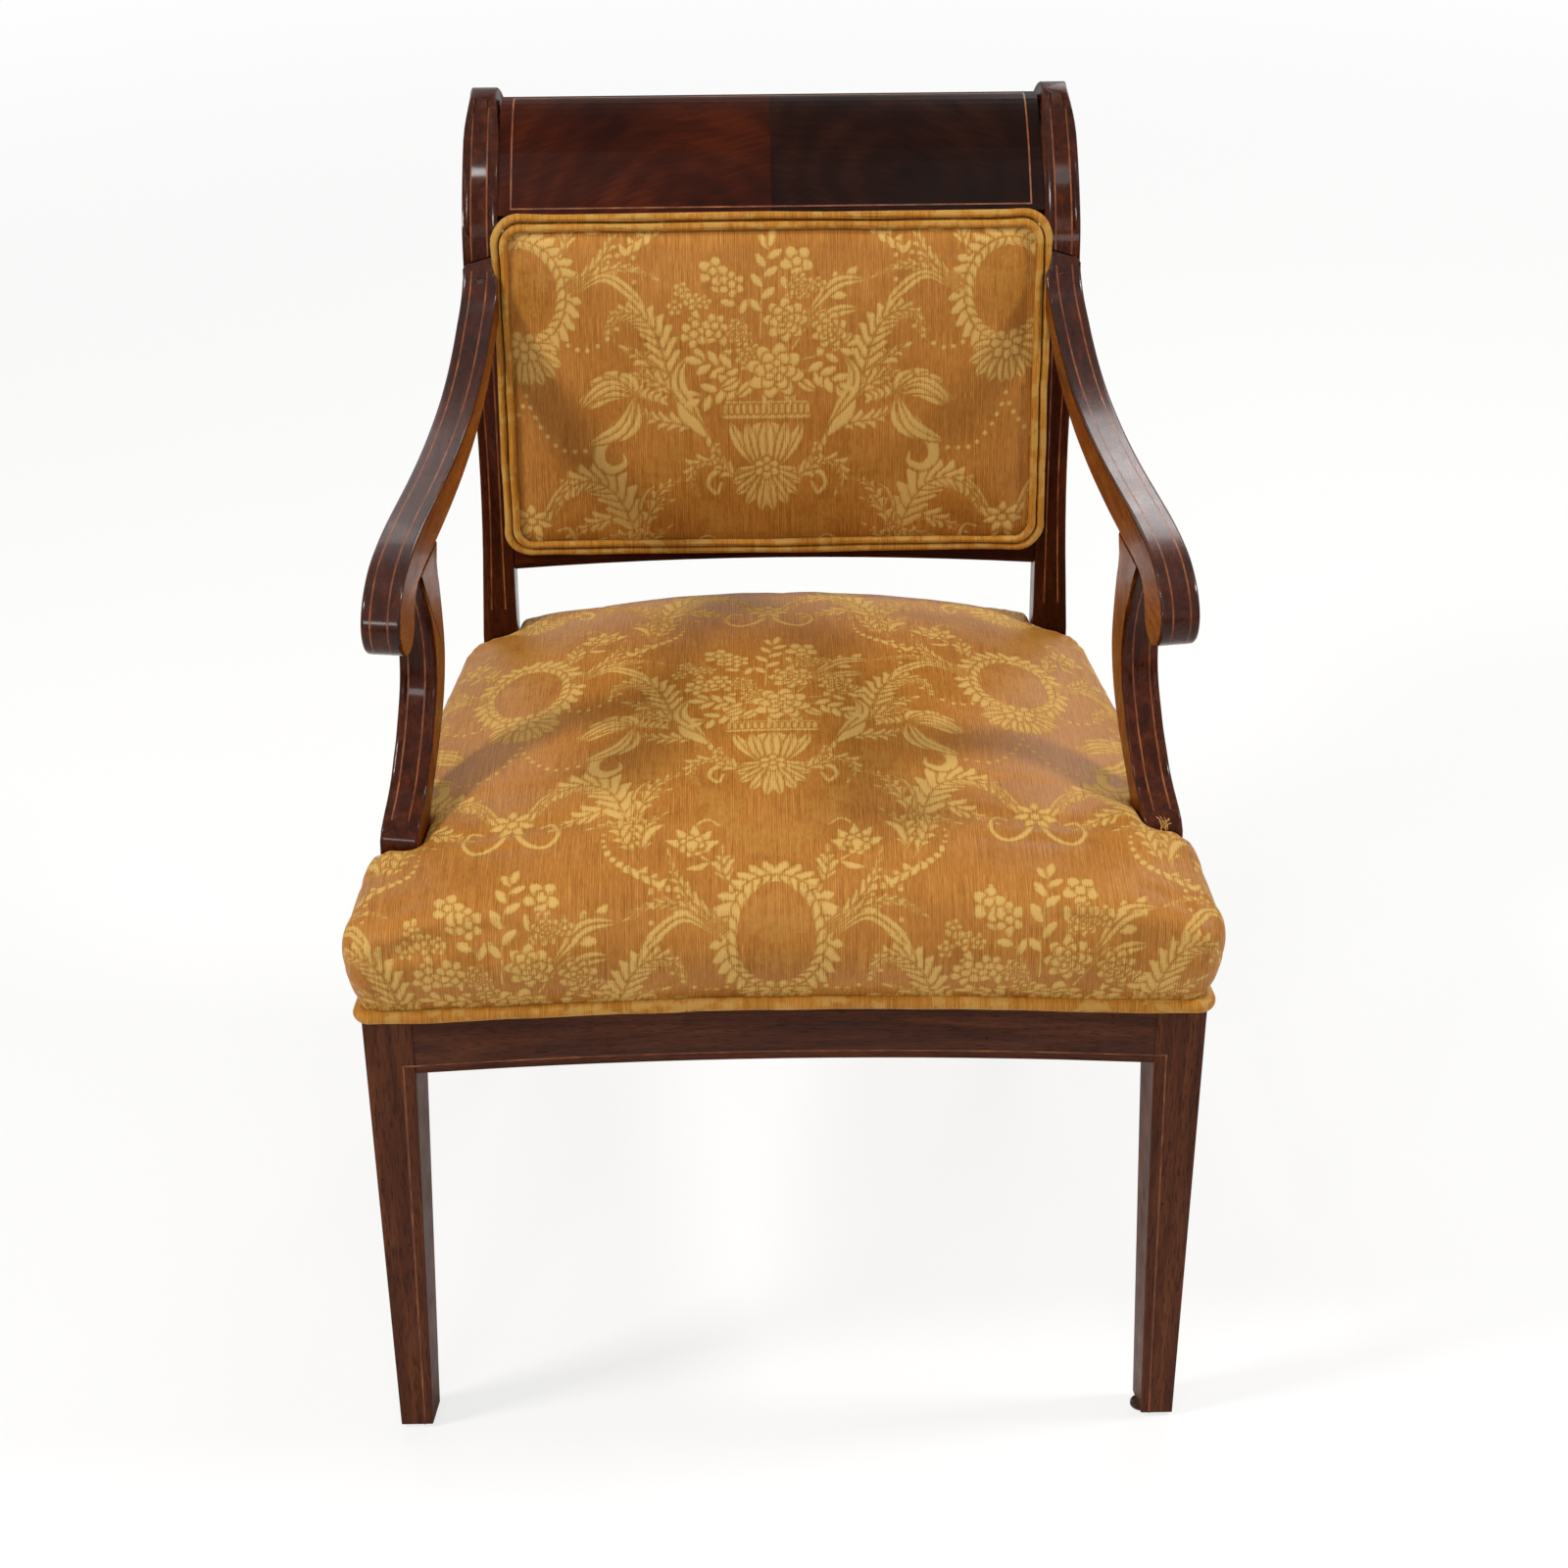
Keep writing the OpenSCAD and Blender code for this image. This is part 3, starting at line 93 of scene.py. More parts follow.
def mahogany(name, along, dark, mid, light, roughness, shine, film, shift=(0, 0, 0), worm=0.0):
    """Planed and polished mahogany: ribbon grain along one axis, short dark
    pores 0.3 mm wide and 4 mm long, and an old, thin shellac film over it."""
    material, t = new_material(name)
    place = add(t, "TexCoord", out="Object")
    # the grain is drawn out 20 times along the axis, and the pores 14 times
    grain = add(t, "Mapping", place, shift, Scale=[0.05 if a == along else 1 for a in "xyz"])
    pore_place = add(t, "Mapping", place, Scale=[0.07 if a == along else 1 for a in "xyz"])
    # growth bands about 9 mm wide, bent a little by a slow noise
    slow = add(t, "TexNoise", Vector=grain, Scale=22.0, Detail=2.0, Roughness=0.5)
    bands = add(t, "TexNoise", Vector=grain, Scale=115.0, Detail=5.0, Roughness=0.62,
                Distortion=0.6)
    ribbon = add(t, "TexNoise", Vector=grain, Scale=420.0, Detail=3.0, Roughness=0.6)
    tone = -0.05
    for pattern, share in ((bands, 0.62), (slow, 0.35), (ribbon, 0.18)):
        tone = add(t, "Math", pattern, share, tone, operation="MULTIPLY_ADD")
    wood = add(t, "ValToRGB", tone, stops=[(0.36, dark), (0.54, mid), (0.74, light)])
    pores = add(t, "TexNoise", Vector=pore_place, Scale=1300.0, Detail=2.0, Roughness=0.5)
    pore = add(t, "ValToRGB", pores, stops=[(0.36, 0.0), (0.47, 1.0)])
    shade = add(t, "Mix", 0.55, i6=wood, i7=pore, data_type="RGBA", blend_type="MULTIPLY", out=2)
    if worm:
        # worm holes about 1.5 mm across, a few to a hand's breadth
        cells = add(t, "TexVoronoi", Vector=place, Scale=70.0, feature="F1", out="Distance")
        near = add(t, "ValToRGB", cells, stops=[(0.055, 1.0), (0.085, 0.0)])
        few = add(t, "SeparateColor", cells.node.outputs["Color"])
        some = add(t, "Math", few, 1.0 - worm, operation="GREATER_THAN")
        hole = add(t, "Math", near, some, operation="MULTIPLY")
        shade = add(t, "Mix", hole, i6=shade, i7=linear("#120805"), data_type="RGBA", out=2)
    # smears in the film and old handling change the gloss
    smear = add(t, "TexNoise", Vector=place, Scale=38.0, Detail=4.0, Roughness=0.6)
    rough = add(t, "MapRange", smear, 0.3, 0.7, roughness - 0.07, roughness + 0.1)
    ripple = add(t, "TexNoise", Vector=grain, Scale=60.0, Detail=3.0)
    height = add(t, "Math", pore, 0.25, ripple, operation="MULTIPLY_ADD")
    bump = add(t, "Bump", Strength=0.12, Distance=0.0006, Height=height)
    shader = add(t, "BsdfPrincipled", Base_Color=shade, Roughness=rough, Normal=bump, IOR=1.5,
                 Specular_IOR_Level=shine, Coat_Weight=film, Coat_Roughness=0.1)
    add(t, "OutputMaterial", shader)
    return material


def put(name, data):
    ob = bpy.data.objects.new(name, data)
    bpy.context.scene.collection.objects.link(ob)
    return ob


def only(ob):
    """Leaves nothing but this piece selected and active."""
    bpy.ops.object.select_all(action="DESELECT")
    ob.select_set(True)
    bpy.context.view_layer.objects.active = ob


same_place = 0.00002  # metres


def copied(node, name, whole_faces=False):
    """A copy of a CAD piece with its loose triangles merged, and those in one
    plane joined into whole faces if asked for."""
    ob = put(name, nodes[node].data.copy())
    only(ob)
    bpy.ops.object.mode_set(mode="EDIT")
    bpy.ops.mesh.select_all(action="SELECT")
    bpy.ops.mesh.remove_doubles(threshold=same_place)
    if whole_faces:
        bpy.ops.mesh.dissolve_limited(angle_limit=math.radians(0.6))
    bpy.ops.object.mode_set(mode="OBJECT")
    return ob


def shaped(ob, kind, **settings):
    """Gives the active piece a modifier with its settings and applies it."""
    modifier = ob.modifiers.new(kind, kind)
    for name, value in settings.items():
        setattr(modifier, name, value)
    bpy.ops.object.modifier_apply(modifier=modifier.name)


def worked(node, name, edge, inlay=None, segments=2):
    """A copy of a CAD piece with its facets merged and its arrises eased by
    hand plane and rubbing, except where a boxwood line is let in."""
    ob = copied(node, name, whole_faces=True)
    tree = None
    if inlay:
        lines = nodes[inlay].data
        tree = BVHTree.FromPolygons([v.co for v in lines.vertices],
                                    [p.vertices[:] for p in lines.polygons])
    bm = bmesh.new()
    bm.from_mesh(ob.data)
    eased = bm.edges.layers.float.new("bevel_weight_edge")
    for e in bm.edges:
        if e.is_manifold and e.is_convex and e.calc_face_angle() > math.radians(38):
            middle = (e.verts[0].co + e.verts[1].co) / 2
            if not tree or tree.find_nearest(middle, 0.0006)[0] is None:
                e[eased] = 1.0
    bm.to_mesh(ob.data)
    bm.free()
    shaped(ob, "BEVEL", limit_method="WEIGHT", width=edge, segments=segments, profile=0.55,
           use_clamp_overlap=False)
    bpy.ops.object.shade_smooth_by_angle(angle=math.radians(32))
    # broad faces stay flat in the light and only the eased arrises turn
    shaped(ob, "WEIGHTED_NORMAL", keep_sharp=True)
    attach(ob, "root")
    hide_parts(node)
    return ob


def dress(ob, material):
    ob.data.materials.clear()
    ob.data.materials.append(material)


leg_tones = ("#2e150a", "#4b2514", "#66381f")
rail_tones = ("#29120a", "#432010", "#5d321c")
leg_wood = mahogany("shellacked_mahogany_upright", "z", *leg_tones, 0.42, 0.06, 0.05, worm=0.16)
rail_wood = mahogany("shellacked_mahogany_rail", "x", *rail_tones, 0.42, 0.06, 0.05, worm=0.22)
side_wood = mahogany("shellacked_mahogany_side", "y", *rail_tones, 0.42, 0.06, 0.05)
for side in ("left", "right"):
    leg = worked(f"front_leg_{side}", f"front_leg_wood_{side}", 0.0009, f"leg_stringing_{side}")
    dress(leg, leg_wood)
    rail = worked(f"side_rail_{side}", f"side_rail_wood_{side}", 0.0007)
    dress(rail, side_wood)
rail = worked("front_rail", "front_rail_wood", 0.0007, "rail_stringing")
dress(rail, rail_wood)
dress(worked("rear_rail", "rear_rail_wood", 0.0007), rail_wood)


# ---------------------------------------------
# Rear legs and back posts. Each is one piece of dark red mahogany, sawn to a
# swept curve, scraped and french polished to a deep gloss.
# ---------------------------------------------

post_wood = mahogany("french_polished_mahogany_post", "z", "#1e0801", "#3a1506", "#5a270d",
                     0.24, 0.04, 0.14)
for side in ("left", "right"):
    post = worked(f"rear_leg_{side}", f"rear_leg_wood_{side}", 0.0012, f"post_stringing_{side}")
    # the rolled top is rounded over to both sides, by hand
    top = [v for v in post.data.vertices if v.co.z > 0.81]
    middle = sum(v.co.x for v in top) / len(top)
    for v in top:
        if v.co.z > 0.812:
            v.co.x = middle + (v.co.x - middle) * (1 - 0.34 * ((v.co.z - 0.812) / 0.022) ** 2)
    dress(post, post_wood)


# ---------------------------------------------
# Arms and arm supports. Bandsawn from thick mahogany and shaped with rasp and
# scraper, under a dark polish. The inner faces, turned toward the seat, are
# painted a warmer, lighter orange brown: painted light on those faces.
# ---------------------------------------------

arm_wood = mahogany("french_polished_mahogany_arm", "y", "#1d0801", "#381305", "#57240c",
                    0.25, 0.1, 0.22)
arm_inner_painted_light = mahogany("inward_faces_painted_light_arm", "y", "#431b07", "#713710", "#94521d",
                     0.3, 0.07, 0.12, (0.3, 0, 0))
support_wood = mahogany("french_polished_mahogany_support", "z", "#1e0801", "#3d1606", "#5e2a0e",
                        0.24, 0.05, 0.14)
support_inner_painted_light = mahogany("inward_faces_painted_light_support", "z", "#431b07", "#6e3611", "#8e4e1d",
                         0.3, 0.07, 0.12, (0.2, 0, 0))
for side, inward in (("left", 1), ("right", -1)):
    for part, lines, wood, inner in (("arm", "arm", arm_wood, arm_inner_painted_light),
                                     ("arm_support", "support", support_wood, support_inner_painted_light)):
        piece = worked(f"{part}_{side}", f"{part}_wood_{side}", 0.0022,
                       f"{lines}_stringing_{side}", 3)
        dress(piece, wood)
        piece.data.materials.append(inner)
        # faces turned inward take the lighter, warmer copy of the wood: painted light
        for face in piece.data.polygons:
            if face.normal.x * inward > 0.75:
                face.material_index = 1


# ---------------------------------------------
# Crest rail and lower back rail. The crest is a curved mahogany core, faced
# with two sheets of figured crotch veneer that meet at the middle.
# ---------------------------------------------

crest_wood = mahogany("french_polished_mahogany_crest", "x", "#1c0701", "#331005", "#4f1f0a",
                      0.24, 0.03, 0.1)
crest = worked("crest_rail", "crest_rail_wood", 0.001, "crest_stringing")
dress(crest, crest_wood)
dress(worked("lower_back_rail", "lower_back_rail_wood", 0.0012), crest_wood)


def flame_veneer(name, fork, tilt, dark, mid, light):
    """Crotch mahogany veneer 0.8 mm thick: faint feathered arcs that fan out
    from the fork of the tree, crossed by fine silky fibre, under old polish."""
    material, t = new_material(name)
    place = add(t, "TexCoord", out="Object")
    moved = add(t, "Mapping", place, fork)
    turned = add(t, "Mapping", moved, Rotation=(0, tilt, 0), Scale=(1, 0.2, 1.7))
    sway = add(t, "TexNoise", Vector=turned, Scale=9.0, Detail=2.0, Roughness=0.5, out="Color")
    warped = add(t, "Mix", 0.035, i4=turned, i5=sway, data_type="VECTOR", out=1)
    # feathered bands 8 to 15 mm apart round the fork
    plume = add(t, "TexWave", Vector=warped, Scale=14.0, Distortion=2.4, Detail=3.0,
                Detail_Scale=1.6, Detail_Roughness=0.7, wave_type="RINGS", rings_direction="Y",
                out="Fac")
    fibre_place = add(t, "Mapping", warped, Scale=(0.1, 1, 1))
    fibre = add(t, "TexNoise", Vector=fibre_place, Scale=300.0, Detail=4.0, Roughness=0.65)
    cloud = add(t, "TexNoise", Vector=turned, Scale=13.0, Detail=2.0, Roughness=0.5)
    tone = 0.0
    for pattern, share in ((plume, 0.07), (cloud, 0.62), (fibre, 0.34)):
        tone = add(t, "Math", pattern, share, tone, operation="MULTIPLY_ADD")
    wood = add(t, "ValToRGB", tone, stops=[(0.34, dark), (0.54, mid), (0.76, light)])
    smear = add(t, "TexNoise", Vector=place, Scale=30.0, Detail=4.0, Roughness=0.6)
    rough = add(t, "MapRange", smear, 0.3, 0.7, 0.24, 0.42)
    # hairline scratches and the dents of long use
    scratch_place = add(t, "Mapping", place, Rotation=(0, 0.7, 0), Scale=(1, 1, 0.12))
    scratch = add(t, "TexNoise", Vector=scratch_place, Scale=260.0, Detail=1.0)
    height = add(t, "Math", scratch, 0.6, fibre, operation="MULTIPLY_ADD")
    bump = add(t, "Bump", Strength=0.1, Distance=0.0005, Height=height)
    shader = add(t, "BsdfPrincipled", Base_Color=wood, Roughness=rough, Normal=bump, IOR=1.5,
                 Specular_IOR_Level=0.02, Coat_Weight=0.045, Coat_Roughness=0.34)
    add(t, "OutputMaterial", shader)
    return material


def finish_node(node, material):
    """Gives a CAD piece that keeps its shape its real finish."""
    piece = nodes[node]
    piece.data.materials.clear()
    piece.data.materials.append(material)


light_flame = flame_veneer("flame_veneer_light", (0.045, 0.0, -0.79), 0.25,
                           "#1e0702", "#310f04", "#4d1d0a")
dark_flame = flame_veneer("flame_veneer_dark", (-0.12, 0.0, -0.8), -0.3,
                          "#0e0402", "#190804", "#2b130b")
finish_node("crest_veneer_left", light_flame)
finish_node("crest_veneer_right", dark_flame)


# ---------------------------------------------
# Boxwood stringing. Square lines of pale, close boxwood 1.2 mm wide, glued in
# a groove and scraped flush, gone orange under the old polish.
# ---------------------------------------------

boxwood, t = new_material("boxwood_line_under_polish")
place = add(t, "TexCoord", out="Object")
streak = add(t, "TexNoise", Vector=place, Scale=60.0, Detail=4.0, Roughness=0.6)
line_colour = add(t, "ValToRGB", streak,
                  stops=[(0.3, "#451e0b"), (0.5, "#6a3415"), (0.7, "#8c5023")])
shader = add(t, "BsdfPrincipled", line_colour, Roughness=0.35, Specular_IOR_Level=0.25)
add(t, "OutputMaterial", shader)
for name in nodes:
    if "stringing" in name:
        finish_node(name, boxwood)


# ---------------------------------------------
# Corner braces, inner back frame and their screws. Plain planed beech, left
# bare inside the chair and browned by dust, with slotted steel screws.
# ---------------------------------------------

beech = mahogany("bare_beech", "x", "#6b4526", "#8a6038", "#a67b4c", 0.62, 0.2, 0.03)
back_frame = ["back_stile_left", "back_stile_right", "back_batten_top", "back_batten_bottom"]
braces = [f"brace_{end}_{side}" for end in ("front", "rear") for side in ("left", "right")]
for name in back_frame + braces:
    finish_node(name, beech)

steel, t = new_material("browned_steel")
place = add(t, "TexCoord", out="Object")
rust = add(t, "TexNoise", Vector=place, Scale=400.0, Detail=4.0)
steel_colour = add(t, "ValToRGB", rust, stops=[(0.4, "#6c6560"), (0.6, "#5a3b28")])
steel_rough = add(t, "MapRange", rust, i3=0.35, i4=0.65)
shader = add(t, "BsdfPrincipled", steel_colour, Roughness=steel_rough, Metallic=0.9)
add(t, "OutputMaterial", shader)
for name in nodes:
    if name.startswith(("screws_", "glide_")):
        finish_node(name, steel)


# ---------------------------------------------
# Damask. A gold silk and rayon furnishing cloth with a traditional woven
# figure: flower baskets between acanthus leaves, wreathed medallions and
# strings of pearls. Here the figure is drawn, leaf by leaf, as on point paper.
# ---------------------------------------------

def curve(points, steps=5):
    """A smooth line through a few drawn points."""
    p = [np.array(q, float) for q in points]
    if len(p) == 2:
        return np.array([p[0] + (p[1] - p[0]) * s / 3 for s in range(4)])
    p = [2 * p[0] - p[1]] + p + [2 * p[-1] - p[-2]]
    out = []
    for a, b, c, d in zip(p, p[1:], p[2:], p[3:]):
        for s in range(steps):
            q = s / steps
            out.append(0.5 * (2 * b + q * (c - a) + q * q * (2 * a - 5 * b + 4 * c - d)
                              + q ** 3 * (3 * b - a - 3 * c + d)))
    return np.array(out + [p[-2]])


def blade(points, width, fat=0.4, stem=0.25, rib=0.0):
    """One leaf or petal: its line, its half width along it and its midrib."""
    line = curve(points)
    s = np.linspace(0, 1, len(line))
    swell, taper = s / fat * math.pi / 2, (s - fat) / (1 - fat) * math.pi / 2
    body = np.where(s < fat, np.sin(swell), np.maximum(0, np.cos(taper)) ** 0.8)
    return line, stem + (width / 2 - stem) * body, rib


def stem_line(points, width, end=None):
    line = curve(points)
    s = np.linspace(0, 1, len(line))
    return line, width / 2 + ((end or width) - width) / 2 * s, 0.0


def dot(centre, radius):
    return np.array([centre, centre + [0.01, 0]]), np.array([radius, radius]), 0.0


def along(line, share):
    k = share * (len(line) - 1)
    i = min(int(k), len(line) - 2)
    here = line[i] + (line[i + 1] - line[i]) * (k - i)
    way = line[min(i + 2, len(line) - 1)] - line[max(i - 1, 0)]
    return here, way / np.hypot(*way)


def turned(v, degrees):
    c, s = math.cos(math.radians(degrees)), math.sin(math.radians(degrees))
    return np.array([v[0] * c - v[1] * s, v[0] * s + v[1] * c])


def toward(degrees):
    """A way on the cloth, turned this far from straight down."""
    return np.array([math.sin(math.radians(degrees)), math.cos(math.radians(degrees))])


cloth_up = np.array([0, -1.0])


def plume(points, sizes, lobes, lean=40, start=0.12, tip=0.5, full=0.45, body=0.42):
    """A feathered acanthus leaf: a body along a curved spine, and on both
    sides pointed lobes laid over each other from the root to the tip, each
    with the ground showing round it; sizes are the lobes' lengths."""
    line = curve(points, 7)
    length_of_line = np.hypot(*np.diff(line, axis=0).T).cumsum()[-1]
    last = 0.97  # share of the spine at which the last pair of lobes springs
    step = length_of_line * (last - start) / (lobes - 1)
    s = np.linspace(0, 1, len(line))
    shape = np.sin(np.pi * np.clip(s / (2 * full), 0, 0.5))
    shape *= np.interp(s, [0, full, 1], [1, 1, tip])
    out = [(line, np.maximum(0.8, max(sizes) * body * shape), 0.55)]
    for i in range(lobes):
        share = start + (last - start) * i / (lobes - 1)
        here, way = along(line, share)
        grow = 0.5 + 0.5 * math.sin(math.pi * min(1, share / (2 * full)))
        grow *= 1 - (1 - tip) * max(0, share - full) / (1 - full)
        for side, length in zip((1, -1), sizes):
            size = length * grow
            go = turned(way, side * lean)
            out_tip = here + go * size * 1.22 + turned(go, side * 90) * size * 0.18
            mid = here + go * size * 0.58 - turned(go, side * 90) * size * 0.05
            lobe = [here - way * step * 0.5, mid, out_tip]
            out.append(blade(lobe, min(size * 0.6, step * 0.96), 0.46))
    end, way = along(line, 1.0)
    size = max(sizes) * tip
    end_leaf = [end - way * size * 0.6, end + way * size * 0.3, end + way * size * 0.9]
    out.append(blade(end_leaf, size * 0.5, 0.45))
    return out


def flower(centre, radius, petals, turn=0, inner=0.34):
    out = []
    c = np.array(centre, float)
    width = 2.1 * math.pi * radius * 0.62 / petals
    for i in range(petals):
        go = turned(cloth_up, turn + 360 * i / petals)
        petal = [c + go * radius * 0.15, c + go * radius * 0.6, c + go * radius]
        out.append(blade(petal, width, 0.62, 0.5))
    return out + [dot(c, radius * inner)]


def rose(centre, radius, turn=0):
    return (flower(centre, radius, 8, turn, 0.2) + flower(centre, radius * 0.66, 6, turn + 20, 0.2)
            + flower(centre, radius * 0.36, 5, turn, 0.3))


def pearls(points, count, r0, r1=None):
    """A string of pearls that grow from radius r0 to r1."""
    line = curve(points, 12)
    out = []
    for i in range(count):
        here, _ = along(line, i / max(1, count - 1))
        out.append(dot(here, r0 + ((r1 or r0) - r0) * i / max(1, count - 1)))
    return out


def sprig(points, leaves, length, width, spread=50):
    """A stem with single leaves left and right of it."""
    line = curve(points, 6)
    out = [(line, np.linspace(0.9, 0.5, len(line)), 0.0)]
    for i in range(leaves):
        here, way = along(line, 0.25 + 0.7 * i / max(1, leaves - 1))
        side = 1 if i % 2 else -1
        go = turned(way, side * spread)
        out.append(blade([here, here + go * length * 0.5, here + go * length], width, 0.5, 0.3))
    end, way = along(line, 1.0)
    out.append(blade([end - way, end + way * length * 0.5, end + way * length], width, 0.5, 0.3))
    return out


across, down = 366.0, 582.0  # the repeat in mm


def medallion(v):
    """Wreath of leaves round a small flower, with a fan of leaves below it,
    tulips above and long leaves beside it. One half; the other mirrors it."""
    ring = [(34.5 * math.sin(a), v - 42 * math.cos(a)) for a in np.linspace(0, math.pi, 25)]
    out = [stem_line(ring, 10)]
    for i in range(15):
        a = math.radians(2 + 174 * i / 14)
        here = np.array([34.5 * math.sin(a), v - 42 * math.cos(a)])
        way = np.array([34.5 * math.cos(a), 42 * math.sin(a)])
        way /= np.hypot(*way)
        outward = np.array([way[1], -way[0]])
        for steps, width, fat in ((((-4, -2), (3, 4), (6, 11)), 8.4, 0.42),
                                  (((-5, -2), (1, -4.5), (7, -7.5)), 5.6, 0.45)):
            out.append(blade([here + way * a + outward * b for a, b in steps], width, fat))
    root = np.array([0, v + 42.0])
    for a, n in ((84, 26), (64, 32), (44, 34), (24, 34), (6, 33)):
        go = toward(a)
        out.append(blade([root + go * 6, root + go * n * 0.6, root + go * n], 9.5, 0.6, rib=0.45))
    out += flower((0, v + 44), 12, 7, 30, 0.3)
    # tulip and its leaves
    out.append(stem_line([(30, v - 30), (40, v - 47), (53, v - 60)], 2.4))
    out += plume([(32, v - 34), (35, v - 46), (36, v - 62)], (10, 10), 4, 36, start=0.2)
    out.append(blade([(45, v - 52), (52, v - 48), (61, v - 47)], 5.0))
    out.append(stem_line([(52, v - 72), (54, v - 84), (46, v - 90), (38, v - 84)], 3.0, 2.0))
    for a in (-75, -35, 5, -115, 40):
        go = turned(cloth_up, -a - 40)
        petal = [(56, v - 62), np.array([56, v - 64]) + go * 9, np.array([57, v - 66]) + go * 19]
        out.append(blade(petal, 8.0, 0.45))
    out += flower((57, v - 66), 8.5, 7, 10, 0.5)
    # long side leaves
    out += plume([(34, v - 8), (52, v - 20), (66, v - 38), (73, v - 60)], (9, 7), 7, 30, start=0.25)
    out += plume([(36, v - 4), (58, v - 18), (80, v - 22), (101, v - 13)], (8, 6), 7, 28, start=0.3)
    out.append(blade([(38, v), (62, v - 14), (82, v - 2), (94, v + 12)], 8.5, 0.6, rib=0.5))
    return out


def acanthus_spring(v):
    """The large feathered leaves that spring from a forked base, with the
    little bow between them and the pearls under them."""
    out = plume([(97, v - 45), (114, v - 58), (132, v - 54), (152, v - 41)], (13, 12), 7, 38,
                start=0.05, tip=0.6)
    out += plume([(96, v - 4), (101, v - 38), (108, v - 66), (121, v - 86), (138, v - 92),
                  (155, v - 83), (168, v - 60)], (19, 18), 12, 42, start=0.22, tip=0.5)
    out += plume([(94, v), (103, v - 20), (111, v - 39), (127, v - 36)], (8, 9), 7, 44,
                 start=0.2, tip=0.6)
    out.append(stem_line([(98, v - 48), (98, v - 66), (94, v - 80), (87, v - 87)], 2.6, 1.8))
    out += plume([(98, v - 44), (90, v - 66), (78, v - 86), (60, v - 95)], (8, 6), 7, 34, start=0.2)
    out += plume([(97, v - 34), (92, v - 56), (84, v - 70), (74, v - 74)], (9, 7), 5, 40, start=0.1)
    out += plume([(92, v - 2), (90, v - 20), (88, v - 36), (76, v - 48)], (9, 8), 6, 44, start=0.2)
    out.append(blade([(92, v - 10), (86, v - 28), (76, v - 35)], 6, 0.5))
    out += pearls([(118, v - 28), (118, v - 19), (115, v - 9), (109, v - 1), (101, v + 5)],
                  7, 1.5, 3.4)
    for x, dv, r in ((93, 7, 4.6), (86, 12, 4.2), (79, 16, 3.6)):
        bell = [(x + 5.5, v + dv - 3), (x, v + dv + 3), (x - 5.5, v + dv - 4)]
        out.append(blade(bell, r * 1.6, 0.5))
    out += pearls([(73, v + 21), (66, v + 26)], 2, 2.1, 1.7)
    # bow on the other axis
    b = v - 52
    out.append(stem_line([(183, b), (175, b + 22), (160, b + 31), (150, b + 20), (154, b + 5),
                          (163, b + 7)], 5.0, 2.4))
    out.append(stem_line([(181, b), (172, b - 10), (164, b - 26), (154, b - 38)], 3.4, 2.0))
    for a in (0, 50, 100, 150):
        go = turned(cloth_up, -a)
        out.append(blade([np.array([183, b]) + go * k for k in (0, 8, 16)], 7, 0.5))
    out += pearls([(183, b), (183.2, b)], 1, 3.6)
    return out


def basket():
    """Footed basket: a pierced rim, leaves as its body and a palmette as its
    foot."""
    out = [stem_line([(0, 149.5), (31, 149.5)], 2.0), stem_line([(0, 161), (32, 161)], 3.6)]
    for i in range(7):
        out.append(stem_line([(2.4 + 4.8 * i, 152.5), (2.4 + 4.8 * i, 157.5)], 3.2))
    out.append(stem_line([(0, 183), (0, 197)], 36, 22))
    out.append(blade([(9, 203), (20, 184), (28, 165)], 9.5, 0.6, rib=0.5))
    out.append(blade([(6, 204), (12, 184), (15, 165)], 9.5, 0.6, rib=0.5))
    out.append(blade([(0, 206), (0, 184), (0, 164)], 12, 0.6, rib=0.5))
    out += plume([(4, 206), (20, 210), (33, 203), (36, 190)], (9, 9), 6, 42, start=0.15)
    root = np.array([0, 202.0])
    for a, n in ((80, 24), (62, 30), (44, 35), (25, 38), (7, 41)):
        go = toward(a)
        leaf = [root, root + go * n * 0.55 + np.array([0, 2.0]), root + go * n]
        out.append(blade(leaf, 8.6, 0.62, rib=0.4))
    out += flower((0, 204), 9, 6, 0, 0.3)
    return out


